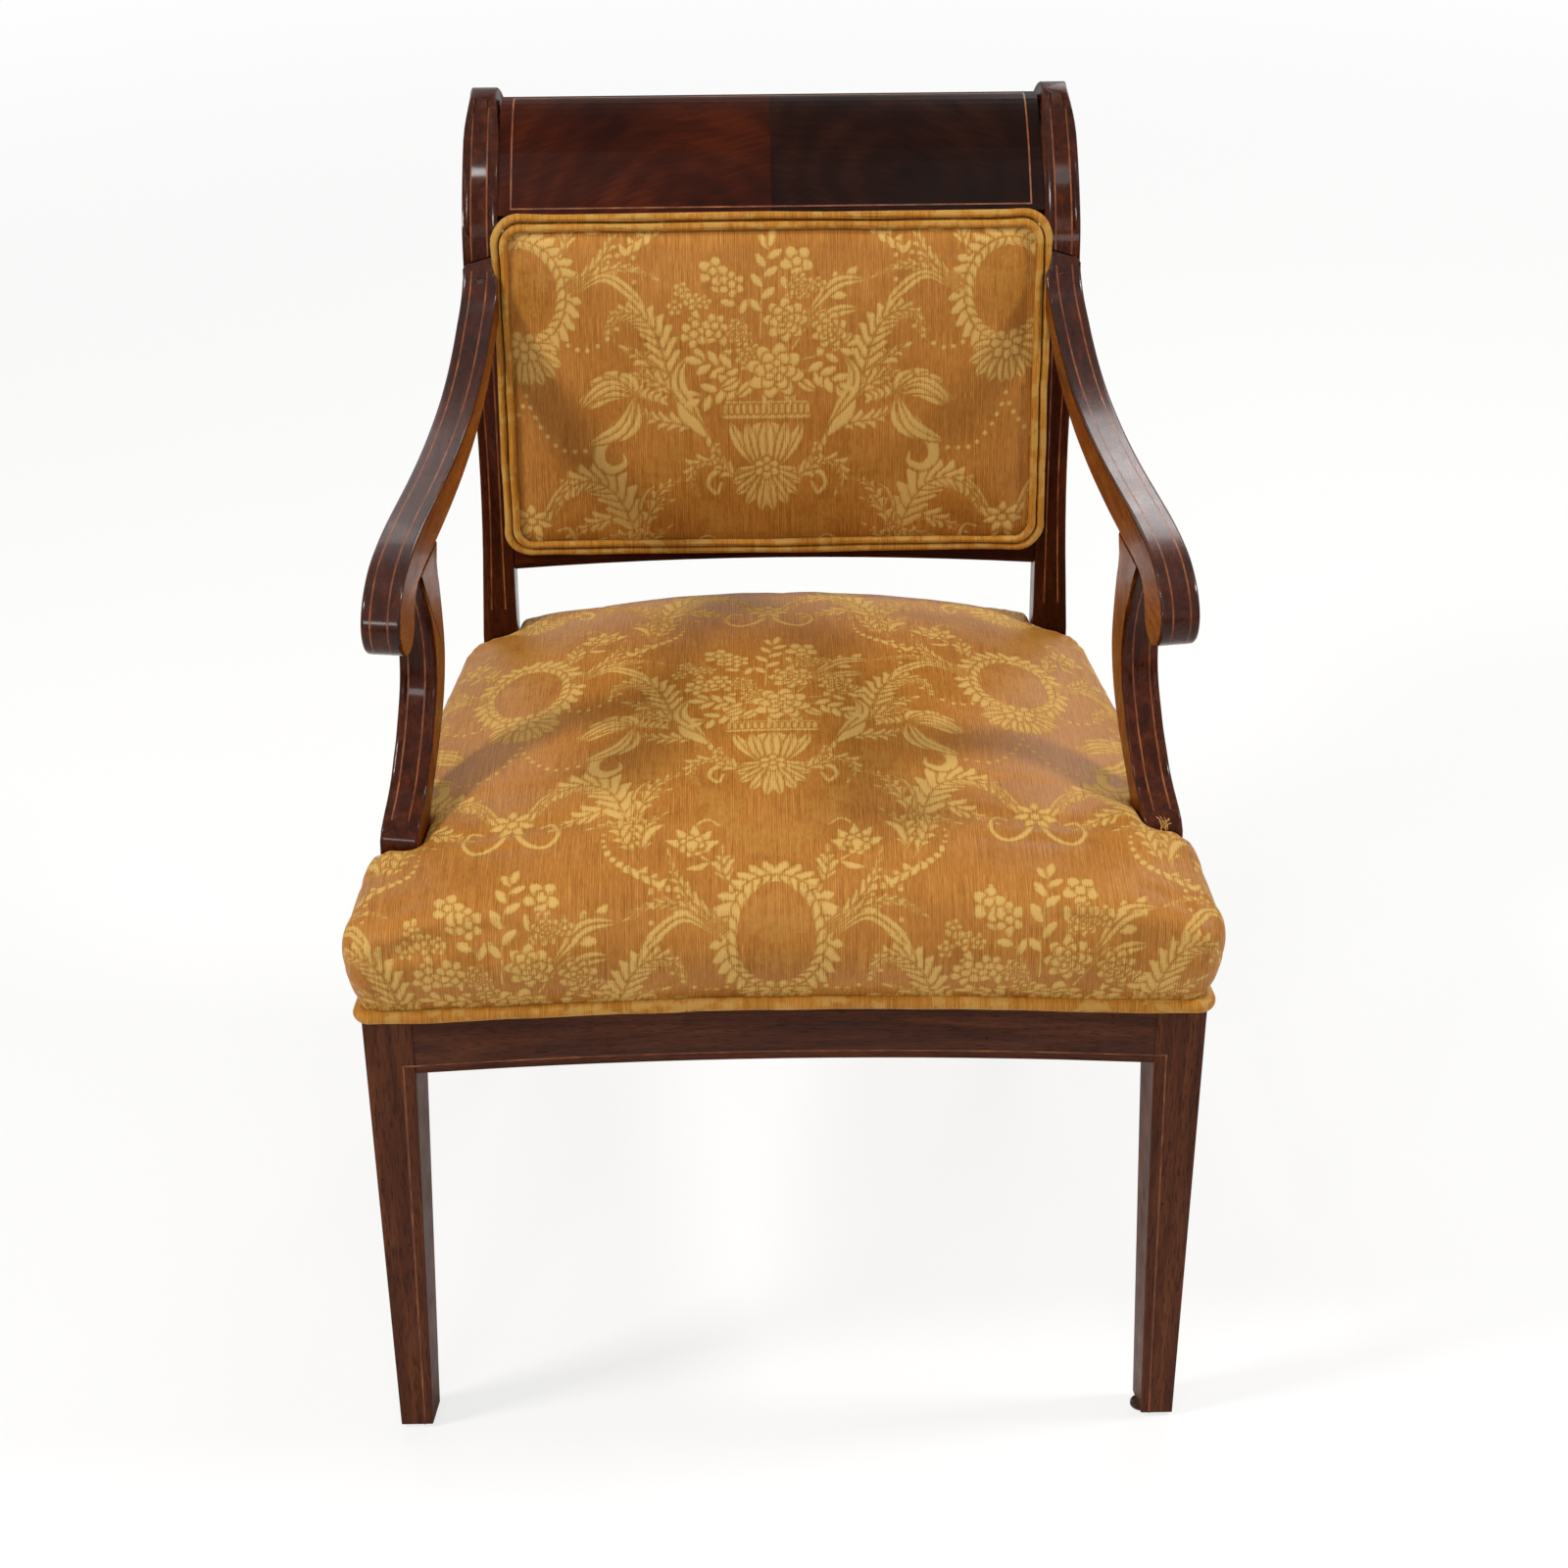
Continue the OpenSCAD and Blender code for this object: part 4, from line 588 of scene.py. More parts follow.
def basket_arms():
    """The acanthus arms that rise from bell flowers beside the basket."""
    out = plume([(62, 148), (76, 130), (90, 116), (106, 107)], (13, 10), 6, 40, start=0.1)
    out += plume([(44, 176), (58, 154), (70, 136), (75, 117), (80, 99), (89, 85), (101, 79),
                  (113, 82), (119, 96)], (15, 14), 13, 40, start=0.22, tip=0.55)
    out += plume([(58, 156), (74, 138), (88, 130), (98, 127)], (9, 9), 5, 40, start=0.3)
    out += plume([(47, 172), (66, 166), (84, 163), (99, 152)], (9, 9), 6, 42, start=0.2)
    out.append(blade([(43, 180), (56, 154), (65, 139), (66, 126), (59, 113)], 11.0, 0.5, rib=0.5))
    out.append(blade([(44, 180), (53, 169), (62, 160), (68, 148)], 9.5, 0.5))
    for i in range(5):
        x, v = 94 - 4.6 * i, 141 + 1.7 * i
        scale = [(x - 1.5, v - 6 + 0.5 * i), (x + 3, v), (x - 1, v + 6 - 0.5 * i)]
        out.append(blade(scale, 4.4, 0.5))
    # the leaf that droops at the end of the arm
    out.append(blade([(97, 144), (110, 166), (124, 180), (128, 196), (120, 205), (109, 200),
                      (110, 190)], 9.5, 0.35))
    root = np.array([99.0, 144.0])
    for end in ((110, 168), (114, 182), (126, 177), (136, 185), (136, 156), (143, 152), (135, 136),
                (124, 128), (111, 128)):
        go = end - root
        bow = turned(go, 90) * (0.16 if end[1] < 160 else -0.16)
        out.append(blade([root, root + go * 0.5 - bow, end], 11.0, 0.6, rib=0.35))
    out.append(blade([(99, 142), (116, 136), (130, 143), (141, 156)], 9.0, 0.5, rib=0.4))
    for x, v in ((40, 181), (36.5, 188.5), (32.5, 196.5), (28.5, 205)):
        out.append(blade([(x + 4.5, v - 5.5), (x + 3.0, v + 2.5), (x - 4.5, v + 2.5)], 5.0, 0.5))
    out += plume([(30, 210), (43, 198), (55, 201), (58, 213), (53, 226)], (6, 8), 7, 46, start=0.2)
    out.append(stem_line([(31, 210), (41, 208), (45, 218), (39, 226), (35, 217)], 5.0, 3.0))
    # pearls to the medallions
    out += pearls([(98, 38), (98, 66)], 4, 2.0)
    out += pearls([(112, 92), (124, 104), (137, 110), (149, 106)], 6, 2.1)
    out += pearls([(183, 150), (183.1, 150)], 1, 2.0)
    out += pearls([(180, 159), (171, 176), (157, 190), (139, 190)], 8, 2.1)
    return out


def bouquet():
    """Roses, daisies, buds and leaves in the basket; it isn't symmetrical."""
    out = []
    for line, n, size, w in (
        ([(-4, 100), (-2, 60), (4, 30)], 7, 13, 6.5),
        ([(-10, 104), (-20, 78), (-30, 62)], 5, 12, 6),
        ([(12, 100), (14, 70), (20, 56)], 4, 10, 5.5),
        ([(20, 108), (42, 76), (60, 56)], 6, 13, 6.5),
        ([(-16, 112), (-34, 104), (-50, 84)], 5, 10, 5.5),
        ([(-12, 124), (-30, 122), (-48, 118)], 6, 14, 7),
        ([(-10, 138), (-30, 138), (-50, 147)], 6, 14, 7),
        ([(24, 124), (40, 128), (56, 136)], 6, 13, 7),
        ([(28, 116), (48, 112), (62, 106)], 5, 11, 6),
    ):
        out += sprig(line, n, size, w, 46)
    out.append(blade([(30, 84), (52, 60), (76, 56)], 9, 0.5, rib=0.6))
    out.append(blade([(36, 90), (54, 80), (70, 78)], 9, 0.5, rib=0.6))
    for daisy in (((-68, 76), 5.5, 5, 0), ((-63, 63), 5.5, 5, 20), ((-55, 71), 6, 5, 40),
                  ((-46, 72), 5, 5, 10), ((-39, 49), 10, 5, 15), ((-25, 59), 9, 6, 0),
                  ((24, 42), 11, 5, 40), ((40, 60), 5.5, 5, 0), ((-54, 96), 10, 6, 10),
                  ((-38, 90), 9, 6, 40)):
        out += flower(*daisy)
    for place in (((27, 61), 9.5, 10), ((-20, 96), 9, 0), ((48, 94), 13.5, 20), ((15, 86), 16, 0)):
        out += rose(*place)
    for x, v, a in ((-10, 144, -60), (2, 147, -10), (14, 146, 30), (24, 142, 70), (-20, 142, -80)):
        go = turned(-cloth_up, -a)
        leaf = [(x, v - 12), np.array([x, v - 8]) + go * 6, np.array([x, v - 6]) + go * 14]
        out.append(blade(leaf, 9, 0.5, rib=0.5))
    return out + rose((-12, 114), 11, 30) + rose((7, 125), 21, 12)


def low_sprays():
    """The fainter weave: a hanging garland, small sprays and the flower
    inside the wreath."""
    out = sprig([(110, 238), (98, 220), (86, 206), (72, 192)], 7, 13, 7, 55)
    out += sprig([(57, 220), (44, 250), (24, 276), (2, 288)], 9, 10, 5.5, 60)
    for c, r in (((58, 222), 5), ((46, 240), 8), ((37, 262), 10), ((24, 280), 8), ((12, 290), 8),
                 ((0, 292), 9), ((26, 252), 5.5)):
        out += flower(c, r, 5, c[0] * 7)
    m = 358
    out += flower((0, m - 6), 9, 4, 45, 0.3)
    out += sprig([(0, m + 22), (4, m + 8), (14, m - 6)], 4, 9, 4.5, 50)
    out += flower((16, m - 12), 6.5, 5, 0)
    out += flower((9, m + 12), 5.5, 5, 30)
    out += flower((0, m - 24), 6, 5, 0)
    return out


def laid_over(x, v, pieces, gap):
    """Distance in mm to the drawn pieces, less than 0 inside; each piece is
    laid over those before it with a line of ground round it."""
    field = np.full(x.shape, 6.0)
    for line, radius, rib in pieces:
        reach = float(radius.max()) + gap + 1.5
        low, high = line.min(0) - reach, line.max(0) + reach
        near = np.flatnonzero((x > low[0]) & (x < high[0]) & (v > low[1]) & (v < high[1]))
        if not len(near):
            continue
        px, pv = x[near], v[near]
        best = np.full(len(near), 1e3)
        spine = best.copy()
        for (a, b), ra, rb in zip(zip(line, line[1:]), radius, radius[1:]):
            d = b - a
            s = np.clip(((px - a[0]) * d[0] + (pv - a[1]) * d[1]) / max(1e-9, d @ d), 0, 1)
            r = np.hypot(px - a[0] - s * d[0], pv - a[1] - s * d[1])
            best = np.minimum(best, r - ra - s * (rb - ra))
            spine = np.minimum(spine, r)
        if rib:
            best = np.maximum(best, rib - spine)
        field[near] = np.minimum(best, np.maximum(field[near], gap - best))
    return field


def damask_cloth_at(x, v):
    """The woven figure and the fainter figure at points of the flat cloth."""
    strong = np.full(x.shape, 6.0)
    faint = strong.copy()
    mirrored = medallion(358) + acanthus_spring(306) + basket_arms() + basket()
    free = bouquet()
    ghost = low_sprays()
    for dx, dv in ((0.0, 0.0), (across / 2, down / 2)):
        px = (x - dx + across / 2) % across - across / 2
        pv = (v - dv + 40) % down - 40
        half = np.abs(px)
        strong = np.minimum(strong, laid_over(half, pv, mirrored, 1.0))
        strong = np.minimum(strong, laid_over(px, pv, free, 1.0))
        faint = np.minimum(faint, laid_over(half, pv, ghost, 0.9))
    return strong, faint


def damask(name, figure=True, ground=("#784813", "#a26726", "#bd8642"), sheen=0.08):
    """Satin ground in broken warp streaks 1 mm wide, with the figure in a
    paler matt weft. The ribs lie 1.4 mm apart here, for the real 0.25 mm, so
    that they show."""
    material, t = new_material(name)
    if figure:
        place = add(t, "Attribute", attribute_name="cloth_place", out="Vector")
    else:
        place = add(t, "TexCoord", out="Object")
    # warp streaks: long in v, each a different dye take-up
    warp = add(t, "Mapping", place, Scale=(1, 0.03, 0.03))
    streak = add(t, "TexNoise", Vector=warp, Scale=850.0, Detail=2.0, Roughness=0.6)
    slub_place = add(t, "Mapping", place, Scale=(1, 0.16, 0.16))
    slub = add(t, "TexNoise", Vector=slub_place, Scale=900.0, Detail=2.0, Roughness=0.5)
    wide = add(t, "TexNoise", Vector=place, Scale=14.0, Detail=3.0, Roughness=0.55)
    # the satin stripe: warp ends cramped in the reed every 1.6 mm
    reed = add(t, "TexWave", Vector=place, Scale=196.0, Distortion=0.8, Detail=1.0,
               Detail_Scale=0.5, wave_type="BANDS", bands_direction="X", out="Fac")
    ribs = add(t, "TexWave", Vector=place, Scale=225.0, Distortion=1.5, Detail=1.0,
               Detail_Scale=3.0, wave_type="BANDS", bands_direction="Y", out="Fac")
    tone = -0.02
    for pattern, share in ((streak, 0.5), (slub, 0.3), (wide, 0.26), (reed, 0.1)):
        tone = add(t, "Math", pattern, share, tone, operation="MULTIPLY_ADD")
    shade = add(t, "ValToRGB", tone, stops=list(zip((0.36, 0.57, 0.78), ground)))
    rough, height = 0.5, streak
    if figure:
        grain = add(t, "TexNoise", Vector=place, Scale=1100.0, Detail=2.0, Roughness=0.6)
        masks = []
        for kind, strength in (("figure_faint", 0.5), ("figure_strong", 0.94)):
            # the edge of the figure steps from thread to thread
            field = add(t, "Attribute", attribute_name=kind, out="Fac")
            ragged = add(t, "Math", grain, 0.9, field, operation="MULTIPLY_ADD")
            masks.append(add(t, "MapRange", ragged, 0.05, 0.85, strength, 0.0))
        # each leaf of the strong figure is raised in its middle, and its middle is painted lighter
        # than its edge: painted light on the raised leaf
        core = add(t, "MapRange", field, -2.4, 0.2, 1.0, 0.0)
        weft_tone = add(t, "Math", grain, 0.62, tone, operation="MULTIPLY_ADD")
        weft_with_painted_light = add(t, "Math", core, 0.24, weft_tone, operation="MULTIPLY_ADD")
        faint = add(t, "ValToRGB", weft_tone, stops=[(0.55, "#8f601c"), (0.87, "#a97832")])
        weft = add(t, "ValToRGB", weft_with_painted_light,
                   stops=[(0.64, "#855f21"), (0.88, "#a97d39"), (1.15, "#c59e57")])
        for mask, colour in zip(masks, (faint, weft)):
            shade = add(t, "Mix", mask, i6=shade, i7=colour, data_type="RGBA", out=2)
        rough = add(t, "MapRange", masks[1], 0.0, 1.0, 0.4, 0.72)
        for pattern, share in ((core, 1.6), (grain, 0.9)):
            height = add(t, "Math", pattern, share, height, operation="MULTIPLY_ADD")
    else:
        # cut slantwise, a cord shows scraps of the paler figure every few centimetres
        patchy = add(t, "TexNoise", Vector=place, Scale=60.0, Detail=3.0, Roughness=0.6)
        scrap = add(t, "MapRange", patchy, 0.5, 0.57, 0.0, 0.7)
        shade = add(t, "Mix", scrap, i6=shade, i7=linear("#b48b45"), data_type="RGBA", out=2)
    woven = add(t, "Math", ribs, 0.3, height, operation="MULTIPLY_ADD")
    bump = add(t, "Bump", Strength=0.35, Distance=0.0004, Height=woven)
    shader = add(t, "BsdfPrincipled", Base_Color=shade, Roughness=rough, Normal=bump,
                 Specular_IOR_Level=0.15, Sheen_Weight=sheen, Sheen_Roughness=0.4,
                 Sheen_Tint=linear("#e8bd70"))
    add(t, "OutputMaterial", shader)
    return material


damask_cloth = damask("gold_strie_damask")


# ---------------------------------------------
# Seat cover. The damask pulled over hair and linters, crowned in the middle,
# with a soft stitched edge roll all round and a drawn-in band above the cord.
# ---------------------------------------------

def vectors(items, kind="co"):
    """One vector of each item of a mesh, a row each; a place is in metres."""
    flat = np.empty(len(items) * 3, dtype=np.float32)
    items.foreach_get(kind, flat)
    return flat.reshape(-1, 3).astype(float)


def put_places(mesh, places):
    mesh.vertices.foreach_set("co", places.astype(np.float32).ravel())
    mesh.update()


def stuffed(node, name, take_in, cap, held, shown, cutter=None, bead=None):
    """A padded piece from its CAD form: an even mesh, made a little smaller,
    blown up as cloth against its tacked edge with a cap on each move, and
    smoothed; where it shows, the mesh is fine enough to carry the figure."""
    ob = copied(node, name)
    if cutter:
        shaped(ob, "BOOLEAN", object=cutter)
        bpy.data.objects.remove(cutter)
    if bead:
        # the turned-in edge of the cover, just inside the cord
        both = bmesh.new()
        both.from_mesh(nodes[bead].data)
        inside = Matrix.Translation((0, 0, 0.003)) @ Matrix.Diagonal((0.982, 0.982, 1, 1))
        bmesh.ops.transform(both, matrix=inside, verts=both.verts)
        both.from_mesh(ob.data)
        both.to_mesh(ob.data)
    shaped(ob, "REMESH", mode="VOXEL", voxel_size=0.005)
    start = vectors(ob.data.vertices)
    tacked = held(start)
    inwards = vectors(ob.data.vertex_normals, "vector") * take_in
    put_places(ob.data, start - inwards * ~tacked[:, None])
    edge = ob.vertex_groups.new(name="tacked")
    edge.add(np.flatnonzero(tacked).tolist(), 1.0, "REPLACE")
    cloth = ob.modifiers.new("Stuffed", "CLOTH")
    cloth.settings.use_pressure = True
    cloth.settings.uniform_pressure_force = 4.0
    cloth.settings.effector_weights.gravity = 0.0
    cloth.settings.vertex_group_mass = edge.name
    for frame_number in range(1, 21):
        bpy.context.scene.frame_set(frame_number)
    bpy.ops.object.modifier_apply(modifier=cloth.name)
    bpy.context.scene.frame_set(1)
    move = vectors(ob.data.vertices) - start
    far = np.linalg.norm(move, axis=1, keepdims=True)
    put_places(ob.data, start + move * np.minimum(1, cap / np.maximum(far, 1e-9)))
    ob.vertex_groups.clear()
    shaped(ob, "SUBSURF", levels=1, render_levels=1)
    fine = shown(vectors(ob.data.polygons, "center"))
    bpy.ops.object.mode_set(mode="EDIT")
    bpy.ops.mesh.select_all(action="DESELECT")
    bpy.ops.mesh.select_mode(type="FACE")
    bpy.ops.object.mode_set(mode="OBJECT")
    ob.data.polygons.foreach_set("select", fine)
    bpy.ops.object.mode_set(mode="EDIT")
    bpy.ops.mesh.subdivide(number_cuts=1)
    bpy.ops.object.mode_set(mode="OBJECT")
    only(ob)
    bpy.ops.object.shade_smooth()
    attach(ob, "root")
    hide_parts(node)
    return ob


def weave(ob, u, v):
    """Stores where each point lies on the flat cloth, in metres, and how far
    it is from the edge of the figure, in mm."""
    def keep(name, kind, what, values):
        layer = ob.data.attributes.new(name, kind, "POINT")
        layer.data.foreach_set(what, values.astype(np.float32).ravel())

    keep("cloth_place", "FLOAT_VECTOR", "vector", np.stack([u, v, np.zeros(len(u))], 1) / 1000)
    strong, faint = damask_cloth_at(u, v)
    keep("figure_strong", "FLOAT", "value", strong)
    keep("figure_faint", "FLOAT", "value", faint)


def side_at(y):
    """Half the width of the stuffed seat at its fullest, in mm."""
    return 260.6 - 0.166 * y


def seat_tacked(p):
    x, y, z = (p * 1000).T
    beside_support = (np.abs(x) > side_at(y) - 24) & (y > -225) & (y < -60)
    return (z < 428) | beside_support


def seat_shown(p):
    return p[:, 2] * 1000 > 403


# the cover is cut open down the outside of each support: y and z of the foot, mm
foot = [(-204.9, 380), (-205.2, 457), (-204, 470), (-192, 482), (-139, 482), (-154.7, 467.5),
        (-162.8, 455.2), (-168.6, 441.5), (-171.5, 426.8), (-172.6, 411.5), (-172.8, 394.6),
        (-172.8, 380)]
slots = bmesh.new()
for side in (-1, 1):
    inner, outer = [], []
    for y, z in foot:
        x = 253.1 - 0.126 * (y + 190) - 0.0202 * (z - 430)  # the support's inner face
        inner.append(slots.verts.new((side * x / 1000, y / 1000, z / 1000)))
        outer.append(slots.verts.new((side * (x + 84) / 1000, (y + 10.6) / 1000, z / 1000)))
    slots.faces.new(inner)
    slots.faces.new(outer)
    for i in range(len(foot)):
        slots.faces.new((inner[i - 1], inner[i], outer[i], outer[i - 1]))
bmesh.ops.recalc_face_normals(slots, faces=slots.faces)
slot_mesh = bpy.data.meshes.new("slots")
slots.to_mesh(slot_mesh)
seat = stuffed("seat_cover", "seat_cushion_cover", 0.0012, 0.008, seat_tacked, seat_shown,
               put("slots", slot_mesh), "seat_cord")
# the front and rear edges are shallow curves, y = a x x + b, fitted to the fullest part
x, y, z = (vectors(seat.data.vertices) * 1000).T
band = (z > 424) & (z < 450)
at_edge = band & (y < -270) & (np.abs(x) < 270)
front_fit = np.polyfit(x[at_edge] ** 2, y[at_edge], 1)
at_edge = band & (y > 130) & (np.abs(x) < 200)
rear_fit = np.polyfit(x[at_edge] ** 2, y[at_edge], 1)
# section of the edge roll: distance in from the edge, and height, mm
edge_roll = np.array([(60, 477), (45, 473), (30, 467), (17, 459), (7, 449), (1.5, 439), (0, 430),
                      (3, 418), (12, 408), (14, 398), (8, 390)], float)
roll_in = 60  # the cloth lies flat further in than this


def run_of(line):
    """How far along a line of points each of them lies."""
    return np.concatenate([[0], np.cumsum(np.hypot(*np.diff(line, axis=0).T))])


def along_cloth(q, z):
    """How far in from the edge a point lies, measured along the cloth as it
    goes round the edge roll; q is its level distance."""
    best = np.full(q.shape, 1e9)
    inward = q.copy()
    for (a, b), s in zip(zip(edge_roll, edge_roll[1:]), run_of(edge_roll)):
        d = b - a
        k = np.clip(((q - a[0]) * d[0] + (z - a[1]) * d[1]) / (d @ d), 0, 1)
        r = np.hypot(q - a[0] - k * d[0], z - a[1] - k * d[1])
        nearer = (r < best) & (q < roll_in)
        best[nearer] = r[nearer]
        inward[nearer] = roll_in - s - (k * np.hypot(*d))[nearer]
    return inward


q_front, q_rear = y - np.polyval(front_fit, x ** 2), np.polyval(rear_fit, x ** 2) - y
q_side = side_at(y) - np.abs(x)
# axis of the figure 5.5 mm left of the middle; v = 0 lies 58.7 mm behind the middle of the chair
axis_left = 5.5
u, v = x + axis_left, 58.7 - y
at_front = (q_front <= q_side) & (q_front <= q_rear)
at_side = (q_side < q_front) & (q_side <= q_rear)
at_rear = ~at_front & ~at_side
v = np.where(at_front, v + q_front - along_cloth(q_front, z), v)
v = np.where(at_rear, v - q_rear + along_cloth(q_rear, z), v)
u = np.where(at_side, u + np.sign(x) * (q_side - along_cloth(q_side, z)), u)
weave(seat, u, v)
# the cover is bunched up 13 mm round the foot of the right arm support
bunched = 13 * np.exp(-((x - 252) / 32) ** 2 - ((y + 196) / 40) ** 2)
bunched *= np.clip((z - 432) / 25, 0, 1)
put_places(seat.data, np.stack([x, y - 0.25 * bunched, z + bunched], 1) / 1000)
dress(seat, damask_cloth)


# ---------------------------------------------
# Padded back. The same damask over a thin pad of hair and linters, crowned a
# little and following the sweep of the posts, inside two rows of piping.
# ---------------------------------------------

def back_tacked(p):
    x, y, z = (p * 1000).T
    return (np.abs(x) > 193) | (z < 530) | (z > 752) | (y > 150 + np.maximum(0, z - 650) * 0.2)


def back_shown(p):
    x, y, z = (p * 1000).T
    return (np.abs(x) < 204) & (y < 152 + np.maximum(0, z - 640) * 0.2)


def over_the_posts(ob):
    """The cover is full at its corners and laps the posts and the crest."""
    p = vectors(ob.data.vertices) * 1000
    half, low, top = 204.2, 512.3, 767.5
    x, z = p[:, 0] / half, (2 * p[:, 2] - low - top) / (top - low)
    corner = np.clip((np.abs(x) - 0.86) / 0.14, 0, 1.1) * np.clip((np.abs(z) - 0.8) / 0.2, 0, 1.1)
    p[:, 0] += np.sign(x) * (1.8 * np.clip((np.abs(x) - 0.6) / 0.4, 0, 1) + 2.2 * corner)
    rise = 6.5 * np.clip((z - 0.2) / 0.8, 0, 1.05)
    p[:, 2] += rise * 0.93 + np.sign(z) * 2.2 * corner
    p[:, 1] += rise * 0.12
    put_places(ob.data, p / 1000)


back = stuffed("back_pad", "back_cushion_cover", 0.002, 0.006, back_tacked, back_shown)
over_the_posts(back)
x, y, z = (vectors(back.data.vertices) * 1000).T
# the sweep of the pad's face, y and z in mm; v = 243 lies at a height of 548 mm
sweep = np.array([(150, 500), (140.1, 521.8), (130.6, 550.6), (129.9, 592), (131.4, 620),
                  (133.6, 644), (139, 680), (144.8, 707), (151.9, 734), (170, 770)])
risen = run_of(sweep)
risen -= np.interp(548, sweep[:, 1], risen)
weave(back, x + axis_left, 243 - np.interp(z, sweep[:, 1], risen))
dress(back, damask_cloth)


# ---------------------------------------------
# Piping. The damask cut on the bias and sewn round a cotton cord: one along
# the lower edge of the seat and two side by side round the padded back.
# ---------------------------------------------

bias_cloth = damask("bias_cut_damask", False, ("#7f4d10", "#a66d22", "#be893c"), 0.12)
for node, name in (("seat_cord", "seat_piping"), ("back_cord_outer", "back_piping_outer"),
                   ("back_cord_inner", "back_piping_inner")):
    ob = copied(node, name)
    shaped(ob, "SUBSURF", levels=2, render_levels=2)
    bpy.ops.object.shade_smooth()
    # plump by 0.4 mm, sewn by hand and long in use: it lies a little unevenly
    p = vectors(ob.data.vertices) * 1000 + vectors(ob.data.vertex_normals, "vector") * 0.4
    ripple = p @ np.array([[1.0, 0.6, 0.3], [0.2, 1.0, 0.9], [0.8, 0.1, 1.0]])
    p += 0.45 * np.sin(ripple / 11) * np.sin(ripple / 29 + 1) + 0.2 * np.sin(ripple / 4.3)
    put_places(ob.data, p / 1000)
    if node.startswith("back"):
        over_the_posts(ob)
    dress(ob, bias_cloth)
    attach(ob, "root")
    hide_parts(node)


# ---------------------------------------------
# Frayed threads. A tuft of gold silk, pulled out of the damask where it is cut
# round the foot of the right arm support.
# ---------------------------------------------

fray, t = new_material("frayed_silk_threads")
place = add(t, "TexCoord", out="Object")
twist = add(t, "TexNoise", Vector=place, Scale=900.0, Detail=2.0)
silk = add(t, "ValToRGB", twist, stops=[(0.35, "#b5802f"), (0.65, "#e3bd78")])
add(t, "OutputMaterial", add(t, "BsdfPrincipled", silk, Roughness=0.6))
threads = bpy.data.curves.new("frayed_threads", "CURVE")
threads.dimensions = "3D"
threads.bevel_depth = 0.0003
threads.bevel_resolution = 1
draw = np.random.default_rng(7)
for i in range(13):
    root = np.array([0.2675, -0.2075, 0.4765]) + draw.normal(0, 1, 3) * (0.0018, 0.0008, 0.0006)
    lean = draw.normal(0, 1, 3) * (0.0034, 0.002, 0.002) + (0.0005, -0.001, 0)
    line = threads.splines.new("POLY")
    line.points.add(5)
    for point, s in zip(line.points, np.linspace(0, 1, 6)):
        up = np.array([0.0, -0.001, 0.0125]) * s * (1 - 0.25 * s)
        point.co = (*(root + lean * s * s + up), 1)
tuft = put("frayed_threads", threads)
only(tuft)
bpy.ops.object.convert(target="MESH")
dress(tuft, fray)
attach(tuft, "root")


# ---------------------------------------------
# Outside back. A flat piece of the same damask, turned in at its edges, tacked
# to the inner frame and slip-stitched down both sides.
# ---------------------------------------------

half, foot_z, top_z, foot_y, top_y = 203.3, 524.4, 753.8, 168.2, 194.9
rise = math.hypot(top_z - foot_z, top_y - foot_y)
across_n, up_n = 250, 142
places, corners = [], []
for j in range(up_n + 1):
    for i in range(across_n + 1):
        a, b = 2 * i / across_n - 1, j / up_n
        from_edge = min(half * (1 - abs(a)), rise * b, rise * (1 - b))
        stitch = 0.35 * math.exp(-from_edge / 5) * math.cos(a * half / 2.4)
        stitch *= math.cos(b * rise / 2.4)
        crown = 0.8 * (1 - a * a) * math.sin(math.pi * b)
        out = 0.6 * (1 - math.exp(-from_edge / 2.5)) + crown + stitch
        places.append((a * half / 1000, (foot_y + (top_y - foot_y) * b + out) / 1000,
                       (foot_z + (top_z - foot_z) * b) / 1000))
row = across_n + 1
for j in range(up_n):
    for i in range(across_n):
        k = j * row + i
        corners.append((k + 1, k, k + row, k + row + 1))
cloth = bpy.data.meshes.new("outside_back_cover")
cloth.from_pydata(places, [], corners)
outside = put("outside_back_cover", cloth)
x, y, z = (vectors(cloth.vertices) * 1000).T
weave(outside, -x, 225 - (z - foot_z) * rise / (top_z - foot_z))
only(outside)
shaped(outside, "SOLIDIFY", thickness=0.0009)
bpy.ops.object.shade_smooth_by_angle(angle=math.radians(50))
dress(outside, damask_cloth)
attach(outside, "root")
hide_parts("outside_back")


# ---------------------------------------------
# Webbing, hessian and stuffing. Twilled jute webbing with two dark stripes,
# laced over and under and tacked to the rails; hessian sewn over it; and a
# bed of curled horsehair under the seat, all seen from below or not at all.
# ---------------------------------------------

